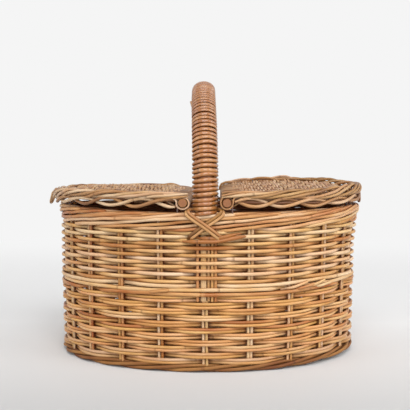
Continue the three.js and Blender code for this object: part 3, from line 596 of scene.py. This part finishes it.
class BASKET_OT_wall(BasketOperator):
    """Weave the wall: stakes, the paired lower rows, the middle wale and the single upper rows"""

    bl_idname = "basket.wall"
    bl_label = "Weave Wall"

    def execute(self, context):
        s = context.scene.basket_sizes
        made = finishes()
        straw = made["weave"]
        rng = np.random.default_rng(11)
        names = [f"stake_{i + 1:02d}" for i in range(s.posts)]
        lay("stakes", stakes(s, rng), straw, names, "stake_cane", s.stake, seed=3, shape=by_hand)
        rows = band(
            s, rng, s.lower_floor, s.wale_floor, height=0.0074, beside=(-0.25, 0.25),
            girth=1.02, uneven=0.05, leg_gain=0.0, sway=0.00035, lowest_shade=0.28,
        )
        names = ["lower_weaver_a", "lower_weaver_b"]
        lay("lower_weave", rows, made["low"], names, "weave_cane", s.weaver, seed=5, shape=by_hand)
        rows = band(
            s, rng, s.upper_floor, s.rim_wale_floor, height=0.0045, beside=(0.0,),
            girth=1.2, uneven=0.06, leg_gain=0.5, sway=0.0003,
        )
        names = ["upper_weaver_a", "upper_weaver_b"]
        lay("upper_weave", rows, straw, names, "weave_cane", s.weaver, seed=8, shape=by_hand)
        rows = level_wale(s, rng)
        names = ["mid_wale_outer", "mid_wale_inner"]
        lay("middle_wale", rows, straw, names, "weave_cane", s.wale_cane, seed=13, shape=by_hand)
        return {"FINISHED"}


class BASKET_OT_rim(BasketOperator):
    """Close the rim with a wale of thicker canes and a plaited border"""

    bl_idname = "basket.rim"
    bl_label = "Plait Rim"

    def execute(self, context):
        s = context.scene.basket_sizes
        finish, width = finishes()["rim"], s.border_cane
        rng = np.random.default_rng(23)
        names = ["rim_wale_outer", "rim_wale_inner"]
        lay("rim_wale", rim_wale(s, rng), finish, names, "rim_cane", width, seed=17, shape=by_hand)
        middle = (s.rim_border_floor + RIM_TOP) / 2
        ring = plait(s, rng, canes_in=5, turns=27, centre=0.0012, z=middle, depth=0.0036, rise=0.0031)
        lay("rim_plait", ring, finish, ["rim_border"], "rim_cane", width, seed=19, shape=by_hand)
        return {"FINISHED"}


def base_canes(s, rng):
    """Pairs of canes round and round, in to the base's middle line, on sticks from each stake and across."""
    rows, apart, reach, half_long, level = 15, 0.06, 0.118, 0.18, 0.0045
    edge_level, inset = 0.0042, 0.0085
    t = np.arange(s.posts * 5) / 5
    edge, out = wall(s, bearing(s, t), edge_level, -inset)
    spine = 1 - (s.half_width - s.lean_across) / (s.half_length - s.lean_along)
    for row in range(rows):
        for beside in (-0.25, 0.25):
            inward = max(0.0, row + beside) / rows
            points = edge * np.array([1 + (spine - 1) * inward, 1 - inward, 1])
            points[:, 2] += 0.0013 * np.cos(math.pi * (t + row)) + wander(rng, t, 0.0002, 3.0)
            yield cane(points, out, 0.95, closed=True)
    run = np.linspace(-0.005, -0.095, 12)
    for post in range(s.posts):
        yield cane(wall(s, np.full_like(run, bearing(s, post)), level, run)[0], UP, 0.9)
    for i in range(-2, 3):
        end = oval(reach, half_long, i * apart)
        yield cane(xyz(i * apart, np.linspace(-end, end, 14), level), UP, 1.1)


class BASKET_OT_base(BasketOperator):
    """Weave the base on its sticks and plait the foot that the basket stands on"""

    bl_idname = "basket.base"
    bl_label = "Weave Base"

    def execute(self, context):
        s = context.scene.basket_sizes
        made = finishes()
        rng = np.random.default_rng(31)
        foot = plait(
            s, rng, canes_in=3, turns=22, centre=0.0014, z=0.0052, depth=0.0032, rise=0.0027, per_post=12
        )
        names = ["foot_border"]
        lay("foot_plait", foot, made["foot"], names, "rim_cane", width=0.0046, seed=21, shape=by_hand)
        canes, straw, names = base_canes(s, rng), made["weave"], ["base_mat"]
        lay("base_weave", canes, straw, names, "base_cane", s.weaver, sides=7, seed=23, shape=by_hand)
        return {"FINISHED"}


def handle_place(s, d):
    """A place on the handle's middle line, so far up from the front rim, and the way out of the arch."""
    lean, settled = 0.0042, 0.0013
    foot = s.spring - RIM_TOP
    turn = np.clip((d - foot) / s.arch, 0.0, math.pi)
    over = np.maximum(d - foot - math.pi * s.arch, 0.0)
    under = np.minimum(d - foot, 0.0)
    z = s.spring + s.arch * np.sin(turn) + under - over
    line = xyz(-lean * np.sin(turn) ** 2, -s.arch * np.cos(turn), z - settled * np.sin(turn) ** 2)
    return line, xyz(0.0, -np.cos(turn), np.sin(turn))


def tongues(s):
    """The pole's flat ends in the wall: a broad cane and a narrow one beside it, front and back."""
    z = np.linspace(s.tongue_floor, RIM_TOP + 0.006, 20)
    for turn in (0.0, math.pi):
        points, out = wall(s, np.full_like(z, turn), z, 0.0)
        for beside, share in ((-0.14, 1.0), (0.36, 0.44)):
            yield cane(points + np.array([beside * s.tongue, 0, 0]), out, share)


def side_rods(s, foot, whole):
    """Thin rods beside the pole, which spread under the lapping and stand by the tongue in the wall."""
    under_lapping = 0.0103
    low = np.linspace(s.tongue_floor - RIM_TOP, 0, 12)[:-1]
    d = np.concatenate([low, np.linspace(0, whole, 50), whole - low[::-1]])
    rise = smooth(-0.01, foot, d) * smooth(whole + 0.01, whole - foot, d)
    for side, seat in ((-1, 0.0086), (1, 0.0084), (1, 0.0124)):
        points, out = handle_place(s, d)
        points[:, 0] += side * (seat * (1 - rise) + under_lapping * rise)
        yield cane(points, out)


def lapping(s, rng, foot, whole):
    """A long cane round and round the pole and its side rods, in a rounded oval, and its tucked end."""
    skin, per_turn = 0.0016, 22
    broad, high = 0.0122 + skin, s.pole / 2 + skin
    angle = np.linspace(0, TURN, 721)
    hull = np.stack([broad * np.cos(angle), high * np.sin(angle)], -1)
    way = unit(np.stack([high * np.cos(angle), broad * np.sin(angle)], -1))
    far = walked(hull)
    span = whole + 2 * TUCK
    turns = round(span / s.lap_pitch)
    w = np.arange(turns * per_turn + 1) / per_turn
    at = (w % 1) * far[-1]
    x, lift = -np.interp(at, far, hull[:, 0]), np.interp(at, far, hull[:, 1])
    face_x, face_lift = -np.interp(at, far, way[:, 0]), np.interp(at, far, way[:, 1])
    f = w / turns
    d = -TUCK + span * (f - 0.03 * np.sin(TURN * f) / TURN)
    d += wander(rng, w, 0.0006, 3.7) + wander(rng, w, 0.0004, 1.6)
    girth = (0.97 + 0.04 * np.cos(TURN * f)) * (1 + wander(rng, w, 0.05, 5.3))
    # The turns lie flat and close on the face and draw together at the sides, where gaps open.
    girth = girth * (0.86 + 0.2 * face_lift**2)
    # Hands have darkened the grip.
    grip = 0.16 * smooth(0.14, 0.32, np.minimum(f, 1 - f))
    # On the legs it is pulled in between pole and rods, which leaves room for the lids.
    legs = smooth(foot + 0.08, foot + 0.03, np.minimum(d, whole - d))
    x = x * (1 - 0.21 * legs * (2 * x * lift / hull[:, 0].max() / hull[:, 1].max()) ** 2)
    points, out = handle_place(s, d)
    points = points + xyz(x, 0.0, 0.0) + out * lift[:, None]
    yield cane(points, xyz(face_x, 0.0, 0.0) + out * face_lift[:, None], girth, stain=grip)
    # The end is tucked under and stands out on the left, near the top.
    points, out = handle_place(s, foot + s.arch * (math.radians(56) + np.linspace(-0.09, 0.035, 9)))
    points[:, 0] -= np.linspace(0.0125, 0.0152, 9)
    yield cane(points, out, 0.8)


class BASKET_OT_handle(BasketOperator):
    """Bend the handle's pole and side rods over the basket and wind the lapping on them"""

    bl_idname = "basket.handle"
    bl_label = "Wind Handle"

    def execute(self, context):
        s = context.scene.basket_sizes
        made = finishes()
        straw, slot = made["weave"], "handle_pole"
        rng = np.random.default_rng(41)
        foot = s.spring - RIM_TOP
        whole = 2 * foot + math.pi * s.arch
        arch = [cane(*handle_place(s, np.linspace(-TUCK, whole + TUCK, 60)))]
        names = ["handle_pole"]
        lay("handle_arch", arch, made["rod"], names, slot, s.pole, sides=20, unevenness=0.02)
        lay("handle_tongues", tongues(s), straw, names, slot, 0.66 * s.tongue, thickness=0.0038, seed=6)
        rods = side_rods(s, foot, whole)
        names = ["handle_side_rod_left", "handle_side_rod_right"]
        lay("handle_side_rods", rods, straw, names, slot, width=0.0037, unevenness=0.06)
        wound, bark, slot = lapping(s, rng, foot, whole), made["bark"], "lapping_cane"
        names = ["handle_lapping_front", "handle_lapping_grip", "handle_lapping_back"]
        lay(
            "handle_lapping", wound, bark, names, slot,
            width=0.0048, thickness=0.0031, unevenness=0.12, seed=29,
        )
        return {"FINISHED"}


def strap(s, turn, way, stand, beside):
    """One cane of a lashing: over the rim beside the handle, aslant under its foot, and into the wall."""
    knots = []
    for x, drop, off in (
        (-0.0150, -0.0012, -0.002),
        (-0.0185, -0.0016, 0.0045),
        (-0.0195, 0.0018, stand - 0.0004),
        (-0.0155, 0.0065, stand),
        (0.0, 0.0176, stand),
        (0.0142, 0.0288, stand - 0.0005),
        (0.0175, 0.0318, stand - 0.004),
        (0.0190, 0.0335, 0.002),
    ):
        x = way * (x + beside * 0.62)
        z = RIM_TOP - drop + beside * 0.75 * (off > 0.006)
        knots.append(wall(s, np.array(x / s.half_length + turn), np.array(z), off)[0])
    _, out = wall(s, np.array(turn), np.array(RIM_TOP), 0.0)
    return cane(through(knots, 40), out)


def bow(s, turn, lift, off, left, right):
    """A brown cane that comes out of the wall, rises to the right and goes in, tapered at both ends."""
    level = 0.1550
    x = np.linspace(left, right, 30)
    z = level + lift + 0.0055 * smooth(0.008, 0.046, x)
    sink = smooth(left + 0.012, left, x) + smooth(right - 0.018, right, x)
    return cane(*wall(s, x / s.half_length + turn, z, off - 0.0045 * sink), 1 - 0.6 * sink)


class BASKET_OT_lashings(BasketOperator):
    """Cross the lashings under the handle's feet and lay the brown bow below them"""

    bl_idname = "basket.lashings"
    bl_label = "Cross Lashings"

    def execute(self, context):
        s = context.scene.basket_sizes
        made = finishes()
        straps, bows = [], []
        for turn in (0.0, math.pi):
            for way, stand in ((1, 0.0111), (-1, 0.0093)):
                straps += [strap(s, turn, way, stand, beside) for beside in (-0.0019, 0.0019)]
            bows.append(bow(s, turn, lift=0.0, off=0.0092, left=-0.026, right=0.052))
            bows.append(bow(s, turn, lift=0.0038, off=0.0090, left=-0.010, right=0.042))
        names = [f"{side}_lashing_{layer}" for side in ("front", "back") for layer in ("under", "over")]
        lay("lashings", straps, made["tie"], names, "lashing_cane", width=0.0038, thickness=0.0024, seed=37)
        names = ["front_lashing_bow", "back_lashing_bow"]
        lay("lashing_bows", bows, made["rod"], names, "bow_cane", width=0.0048, thickness=0.0036, seed=38)
        return {"FINISHED"}


def hinge_rod(side):
    """A round rod from rim to rim, its sawn ends' edges broken."""
    low, high = (corner.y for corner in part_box("right_hinge_rod"))
    inner = np.linspace(low + 0.002, high - 0.002, 20)
    y = np.concatenate([[low, low + 0.0005], inner, [high - 0.0005, high]])
    girth = np.ones(len(y))
    girth[[0, -1]] = 0.9
    return cane(xyz(side * HINGE_X, y, HINGE_Z), UP, girth)


def rod_tie(s, side, place):
    """One turn of a tie: up out of the rim, over the rod and down again, its legs darker below the rod."""
    reach, leg = s.rod / 2 + 0.0012, [-0.0165, -0.006]
    arc = np.linspace(0, math.pi, 11)
    x = np.concatenate([[reach, reach], reach * np.cos(arc), [-reach, -reach]])
    z = np.concatenate([leg, reach * np.sin(arc), leg[::-1]])
    stain = 0.95 * smooth(-0.001, -0.006, z)
    return cane(xyz(side * HINGE_X + x, place, HINGE_Z + z), ACROSS, stain=stain)


class BASKET_OT_hinges(BasketOperator):
    """Lay the two hinge rods across the rim and tie them down"""

    bl_idname = "basket.hinges"
    bl_label = "Tie Hinge Rods"

    def execute(self, context):
        s = context.scene.basket_sizes
        made = finishes()
        middle, apart = 0.1369, 0.0024
        rods = [hinge_rod(side) for side in (-1, 1)]
        places = [end * (middle + beside) for end in (-1, 1) for beside in (-apart, 0.0, apart)]
        ties = [rod_tie(s, side, place) for side in (-1, 1) for place in places]
        names, slot = ["left_hinge_rod", "right_hinge_rod"], "hinge_rod"
        lay("hinge_rods", rods, made["rod"], names, slot, s.rod, sides=24, unevenness=0.02, seed=43)
        names = [f"{side}_rod_tie_{end}" for side in ("left", "right") for end in ("front", "back")]
        lay("rod_ties", ties, made["bark"], names, "lashing_cane", width=0.0024, seed=47)
        return {"FINISHED"}


def lid_warp(side, points, share):
    """Both lids have settled unevenly, and the right one has sprung up at the back, clear of the handle."""
    x, y, z = points.T
    beyond = smooth(HINGE_X + 0.004, HINGE_X + 0.05, x)
    free = np.maximum(beyond, smooth(HINGE_Z - 0.007, HINGE_Z - 0.001, z))
    lift = 0.0009 * np.sin(38 * y + 21 * x) + 0.0006 * np.sin(97 * x - 30 * y)
    if side == "right":
        clear = 1 - smooth(0.112, 0.120, y) * smooth(0.095, 0.055, x)
        lift = lift + share * 0.0085 * smooth(-0.04, 0.14, y) * smooth(0.28, 0.14, x) * clear
        lift = lift + share * 0.002 * smooth(0.12, 0.19, x) * smooth(-0.12, 0.03, y)
    return xyz(x, y, z + lift * free)


def lid_level(s, x, y):
    """The lid's height: it rises from the sleeve to a flat crown and falls to the edge."""
    inner_slope, outer_slope, top = 0.048, 0.024, s.lid_lift + s.lid_crown
    hoop = oval(s.hoop_length, s.hoop_width, y)
    rising = SLEEVE + (top - SLEEVE) * np.clip((x - HINGE_X) / inner_slope, 0, 1)
    falling = s.lid_lift + s.lid_crown * np.clip((hoop - x) / outer_slope, 0, 1)
    return HINGE_Z + np.minimum(rising, falling)


def lid_edge(s, v, away, height):
    """Points beside the lid's edge at angles v round it, and the way out of it there."""
    out = unit(xyz(np.sin(v) / s.hoop_length, -np.cos(v) / s.hoop_width, 0.0))
    line = xyz(s.hoop_length * np.sin(v), -s.hoop_width * np.cos(v), HINGE_Z + height)
    return line + out * np.asarray(away)[..., None], out


def lid_behind(side, points):
    """How far to the back of the basket points of a lid lie, from 0 at the front half to 1."""
    return smooth(0.02, 0.11, points[:, 1] if side == "right" else -points[:, 1])


def lid_tips(v):
    """A girth that halves at both ends of an edge cane."""
    return 1 - 0.5 * np.maximum(smooth(v[3], v[0], v), smooth(v[-4], v[-1], v))


def lid_ribs(s, rng):
    """Canes rolled over the hinge rod as a sleeve. Two in nine run on to the edge, as a pair of ribs."""
    per_rib, outermost = 9, 0.125
    pitch = s.rib_pitch / per_rib
    roll = math.radians(-90) - np.linspace(0, math.pi, 9)
    tail = [(0.024, 0.0050), (0.013, -0.0020), (0.005, -0.0062)]
    under = np.array(tail + [(SLEEVE * math.cos(a), SLEEVE * math.sin(a)) for a in roll])
    for i in range(-39, 41):
        y = (i - 0.5) * pitch
        if i % per_rib in (0, 1) and abs(y) < outermost:
            far = oval(s.hoop_length, s.hoop_width, y) - 0.002
            x, sink = np.arange(HINGE_X + 0.006, far, 0.006), 0.0
        else:
            x, sink = HINGE_X + np.array([0.006, 0.014, 0.022, 0.028]), np.array([0, 0, 0, 0.0035])
        over = np.stack([x - HINGE_X, lid_level(s, x, y) - sink - HINGE_Z], -1)
        x, z = np.vstack([under, over]).T
        line = xyz(HINGE_X + x, y + wander(rng, x, 0.0003, 0.05), HINGE_Z + z)
        # Where the ribs run on under the rows they are darkened: painted shade.
        shaded = 0.8 * smooth(0.024, 0.034, x)
        yield cane(line, ACROSS, 1 + rng.uniform(-0.08, 0.05), stain=shaded)


def lid_rows(s, rng, side):
    """Pairs of canes over and under the ribs, from the sleeve to the edge. They sink at both ends."""
    apart, rise = 0.0019, 0.001 if side == "right" else 0.0014
    for row, middle in enumerate(np.arange(HINGE_X + 0.0125, s.hoop_length - 0.014, s.lid_row)):
        for beside in (-apart, apart):
            x = middle + beside
            reach = oval(s.hoop_width, s.hoop_length, x) - 0.0015
            y = np.linspace(-reach, reach, max(12, int(reach / 0.0019)))
            swing = -np.clip(1.15 * np.cos(math.pi * (y / s.rib_pitch + row)), -1, 1)
            sink = smooth(reach - 0.022, reach - 0.004, np.abs(y))
            x = x + wander(rng, y, 0.0006, 0.12) - 0.42 * beside * sink
            z = lid_level(s, x, y) + rise * swing * (1 - sink) - 0.0035 * sink
            open_weave = smooth(0.03, -0.05, y if side == "right" else -y)
            girth = (1 - 0.12 * sink) * (1 - 0.2 * open_weave) * (1 + rng.uniform(-0.06, 0.06))
            # A row is darkened where it sinks under the edge: painted shade.
            yield cane(xyz(x, y, z), UP, girth, stain=0.35 * sink)


def lid_border(s, rng, side):
    """The edge: five canes twisted round the hoop, and an eye round the rod at each end of the sleeve."""
    canes_in, eye_place, eye_half, past = 5, 0.1432, 0.0013, 0.03
    start = math.asin(HINGE_X / s.hoop_length)
    v = np.linspace(start - past, math.pi - start + past, 132)
    fan = smooth(0.05, 0.17, s.hoop_length * np.sin(v)) * (1.0 if side == "right" else 0.25)
    ends = np.maximum(smooth(start + 0.18, start - 0.01, v), smooth(v[-1] - 0.21, v[-1] - 0.02, v))
    for which in range(canes_in):
        phase = TURN * which / canes_in + 8.5 * (v - math.pi / 2) + wander(rng, v, 0.35, 0.9)
        points, out = lid_edge(s, v, 0.0034 * np.cos(phase), s.lid_lift)
        back = lid_behind(side, points)
        rise = fan * (1 - 0.75 * back)
        lift = 0.003 * rise + (0.0029 + 0.0028 * rise) * np.sin(phase)
        points[:, 2] += lift + (0.0024 - 0.0116 * ends) * back
        yield cane(points, out, (0.92 + wander(rng, v, 0.07, 0.8)) * lid_tips(v))
    if side == "right":
        # Two loose canes are bound along the sprung back, from the sleeve to the edge.
        roll = np.array([(-0.0085, 0.0), (-0.0084, 0.004), (-0.006, 0.0085), (0.0, 0.0108)])
        x = np.linspace(HINGE_X + 0.009, 0.15, 40)
        y = np.minimum(0.104, oval(s.hoop_width, s.hoop_length, x) - 0.006)
        for half in (0, 1):
            wave = 0.0017 * np.sin(TURN * x / 0.062 + math.pi * half) + wander(rng, x, 0.0004, 0.1)
            over_rod = xyz(HINGE_X + roll[:, 0], y[0], HINGE_Z + roll[:, 1])
            line = np.vstack([over_rod, xyz(x, y, lid_level(s, x, y) + 0.0034 + wave)])
            yield cane(line + np.array([0, 0.004 * half, 0]), UP, 0.9)
    a = np.radians(np.linspace(80, 372, 19))
    lead = [(0.022, 0.0095), (0.013, 0.0088), (0.006, 0.0078)]
    tail = [(0.0085, 0.0045), (0.013, 0.0068)]
    x, z = np.vstack([lead, EYE * np.stack([np.cos(a), np.sin(a)], -1), tail]).T
    for end in (-1, 1):
        for beside in (-eye_half, eye_half):
            yield cane(xyz(HINGE_X + x, end * (eye_place + beside), HINGE_Z + z), ACROSS, 0.56)


def lid_twist(s, rng, side):
    """The scalloped twist under the edge: two waved canes, and level ones behind them."""
    scallop, short = 0.082, 0.045
    start = math.asin(HINGE_X / s.hoop_length)
    v = np.linspace(start + short, math.pi - start - short, 190)
    far = walked(lid_edge(s, v, 0.0, 0.0)[0][:, :2])
    slack = smooth(0.165, 0.11, s.hoop_length * np.sin(v))
    for half in (0, 1):
        phase = TURN * far / scallop + math.pi * half + wander(rng, far, 0.3, 0.31)
        drop = 0.0006 - 0.0008 * slack + (0.0031 + 0.0014 * slack) * np.sin(phase)
        points, out = lid_edge(s, v, 0.0018 * np.cos(phase), drop)
        points[:, 2] -= 0.003 * lid_behind(side, points) * (1 - 0.6 * slack)
        yield cane(points, out, (1 + wander(rng, far, 0.06, 0.2)) * lid_tips(v))
    # The level canes behind the waved ones are darkened: painted shade.
    for level in (0.0036, -0.0004) if side == "right" else (0.0036,):
        points, out = lid_edge(s, v, -0.0026, level)
        points[:, 2] -= 0.0072 * lid_behind(side, points) * (level > 0)
        yield cane(points, out, 1.05 + wander(rng, far, 0.06, 0.2), stain=0.8)


def lid_pull(s, reach):
    """A bent loop at the lid's outer end that stands out so far and hangs down."""
    half = [
        (-0.004, -0.0086, 0.0),
        (0.3 * reach, -0.0086, 0.0006),
        (0.6 * reach, -0.0086, -0.0015),
        (0.75 * reach, -0.0083, -0.007),
        (0.95 * reach, -0.0055, -0.0135),
        (reach, 0.0, -0.0155),
    ]
    knots = np.array(half + [(x, -y, z) for x, y, z in half[-2::-1]])
    return [cane(through(knots + [s.hoop_length, 0, HINGE_Z + s.lid_lift], 60), (1, 0, 0.1))]


class BASKET_OT_lids(BasketOperator):
    """Weave both lids: ribs rolled over the hinge rod, rows of canes, an edge and its twist, and a pull"""

    bl_idname = "basket.lids"
    bl_label = "Weave Lids"

    def execute(self, context):
        s = context.scene.basket_sizes
        made = finishes()
        # Each lid is made as the right one, and the left one is then turned half round.
        for side, seed, turn, reach in (
            ("left", 61, [-1, -1, 1], 0.0107),
            ("right", 71, [1, 1, 1], 0.0036),
        ):
            rng = np.random.default_rng(seed)
            for what, strands, stands_for, width, share in (
                ("ribs", lid_ribs(s, rng), "frame", 0.0028, 1.0),
                ("rows", lid_rows(s, rng, side), "weave", 0.0038, 1.0),
                ("border", lid_border(s, rng, side), "frame", 0.0041, 1.0),
                ("twist", lid_twist(s, rng, side), "edge_twist", 0.0042, 0.2),
                ("loop", lid_pull(s, reach), "pull", 0.0033, 1.0),
            ):
                turned = (cane(lid_warp(side, k.points, share) * turn, k.out * turn, *k[2:]) for k in strands)
                body = f"{side}_lid"
                name, nodes = f"{body}_{what}", [f"{body}_{stands_for}"]
                finish = made["lid_rows" if what == "rows" else "lid"]
                lay(name, turned, finish, nodes, "lid_cane", width, body=body, sides=7, seed=seed)
                seed += 1
        return {"FINISHED"}


def seen(add):
    """One for rays that show the background: straight to the eye, or by a shiny or clear surface."""
    rays = add("ShaderNodeLightPath").node.outputs
    shown = rays["Is Camera Ray"]
    for kind in ("Is Glossy Ray", "Is Transmission Ray"):
        shown = add("ShaderNodeMath", {0: shown, 1: rays[kind]}, operation="MAXIMUM")
    return shown


def paper(colours):
    """Matt studio paper: a pale grey that holds a soft shadow, painted darker before the basket as painted
    shade.
    """
    made = bpy.data.materials.new("Studio paper, matt")
    add = emptied(made)
    spot = add("ShaderNodeTexCoord", out="Object")
    deep = add("ShaderNodeSeparateXYZ", {0: spot}, out="Y")
    away = add("ShaderNodeVectorMath", {0: spot}, operation="LENGTH")
    # The paper is painted darker towards the front: painted shade before the basket.
    depth = add("ShaderNodeMapRange", {"Value": deep, "From Min": -0.32, "From Max": 0.14})
    greys = {"Factor": depth, "A": tuple(colours.floor_near), "B": tuple(colours.floor)}
    grey = add("ShaderNodeMix", greys, data_type="RGBA")
    matt = add("ShaderNodeBsdfPrincipled", {"Base Color": grey, "Roughness": 0.9})
    # The far paper is lit to an even near-white for the eye: it fades in behind the basket and round it.
    lit = add("ShaderNodeEmission", {"Color": tuple(colours.backdrop)})
    behind = add("ShaderNodeMapRange", {"Value": deep, "From Min": -0.1, "From Max": 1.4})
    round_it = add("ShaderNodeMapRange", {"Value": away, "From Min": 0.55, "From Max": 1.5})
    for fade in (behind, round_it):
        fade.node.interpolation_type = "SMOOTHERSTEP"
    faded = add("ShaderNodeMath", {0: behind, 1: round_it}, operation="MAXIMUM")
    share = add("ShaderNodeMath", {0: seen(add), 1: faded}, operation="MULTIPLY")
    both = add("ShaderNodeMixShader", {0: share, 1: matt, 2: lit})
    add("ShaderNodeOutputMaterial", {"Surface": both})
    return made


def paper_sweep(finish):
    """A floor of paper that curves up into a backdrop far behind the basket."""
    bend, near, start, top, half = 0.9, -4.0, 1.6, 4.0, 5.0
    arc = np.linspace(0, math.pi / 2, 17)
    profile = [(start + bend * math.sin(a), bend - bend * math.cos(a)) for a in arc]
    profile = [(near, 0.0)] + profile + [(start + bend, top)]
    points = [(x, y, z) for y, z in profile for x in (-half, half)]
    faces = [(2 * i, 2 * i + 1, 2 * i + 3, 2 * i + 2) for i in range(len(profile) - 1)]
    sweep = bpy.data.meshes.new("paper_sweep")
    sweep.from_pydata(points, [], faces)
    sweep.shade_smooth()
    sweep.materials.append(finish)
    return bpy.data.objects.new("paper_sweep", sweep)


def room(colours):
    """A plain fill light for the basket, which shows the eye the same near-white as the far paper."""
    world = bpy.data.worlds.new("Studio")
    add = emptied(world)
    fill = add("ShaderNodeBackground", {"Color": srgb("#FFFFFF"), "Strength": 0.34})
    shown = add("ShaderNodeBackground", {"Color": tuple(colours.backdrop)})
    both = add("ShaderNodeMixShader", {0: seen(add), 1: fill, 2: shown})
    add("ShaderNodeOutputWorld", {"Surface": both})
    return world


def photo_view():
    """A camera at the photograph's view: a metre away, above the rim, and turned slightly."""
    half_frame, focal, away, height = 205, 745, 0.998, 0.2452
    yaw, down, aside = math.radians(1.2), 3.2, 0.0028
    lens = bpy.data.cameras.new("Camera")
    lens.angle = 2 * math.atan(half_frame / focal)
    eye = bpy.data.objects.new("Camera", lens)
    eye.location = (away * math.sin(yaw) - aside, -away * math.cos(yaw), height)
    eye.rotation_euler = (math.radians(90 - down), 0, yaw)
    return eye


class BASKET_OT_stage(BasketOperator):
    """Lay the pale paper sweep, hang the soft lamps and set the camera"""

    bl_idname = "basket.stage"
    bl_label = "Set Stage"

    def execute(self, context):
        scene = context.scene
        scene.view_settings.view_transform = "Standard"
        floor = paper_sweep(paper(scene.basket_colours))
        scene.collection.objects.link(floor)
        scene.world = room(scene.basket_colours)
        aim = Vector((0, 0, 0.13))
        for name, place, size, watts in (
            ("Lamp right", (1.7, -0.9, 1.0), 1.2, 20.0),
            ("Lamp left", (-1.7, -0.9, 1.0), 1.2, 12.0),
            ("Lamp above", (0.2, -1.5, 1.6), 1.3, 25.0),
            ("Lamp before", (0.1, -2.2, 0.5), 1.1, 11.0),
        ):
            lamp = bpy.data.lights.new(name, "AREA")
            lamp.size, lamp.energy = size, watts
            hung = bpy.data.objects.new(name, lamp)
            hung.location = place
            hung.rotation_euler = (aim - hung.location).to_track_quat("-Z", "Y").to_euler()
            scene.collection.objects.link(hung)
        scene.camera = photo_view()
        scene.collection.objects.link(scene.camera)
        return {"FINISHED"}


class BASKET_PT_panel(bpy.types.Panel):
    """The basket's steps, in order"""

    bl_label = "Cane Picnic Basket"
    bl_idname = "BASKET_PT_panel"
    bl_space_type = "VIEW_3D"
    bl_region_type = "UI"
    bl_category = "Basket"

    def draw(self, context):
        for step in STEPS:
            self.layout.operator(step.bl_idname)


STEPS = (
    BASKET_OT_wall,
    BASKET_OT_rim,
    BASKET_OT_base,
    BASKET_OT_handle,
    BASKET_OT_lashings,
    BASKET_OT_hinges,
    BASKET_OT_lids,
    BASKET_OT_stage,
)
CLASSES = (BasketSizes, BasketColours) + STEPS + (BASKET_PT_panel,)


def register():
    for kind in CLASSES:
        bpy.utils.register_class(kind)
    bpy.types.Scene.basket_sizes = bpy.props.PointerProperty(type=BasketSizes)
    bpy.types.Scene.basket_colours = bpy.props.PointerProperty(type=BasketColours)


def unregister():
    del bpy.types.Scene.basket_colours
    del bpy.types.Scene.basket_sizes
    for kind in reversed(CLASSES):
        bpy.utils.unregister_class(kind)


def main():
    register()
    for step in STEPS:
        group, name = step.bl_idname.split(".")
        getattr(getattr(bpy.ops, group), name)()


if __name__ == "__main__":
    main()
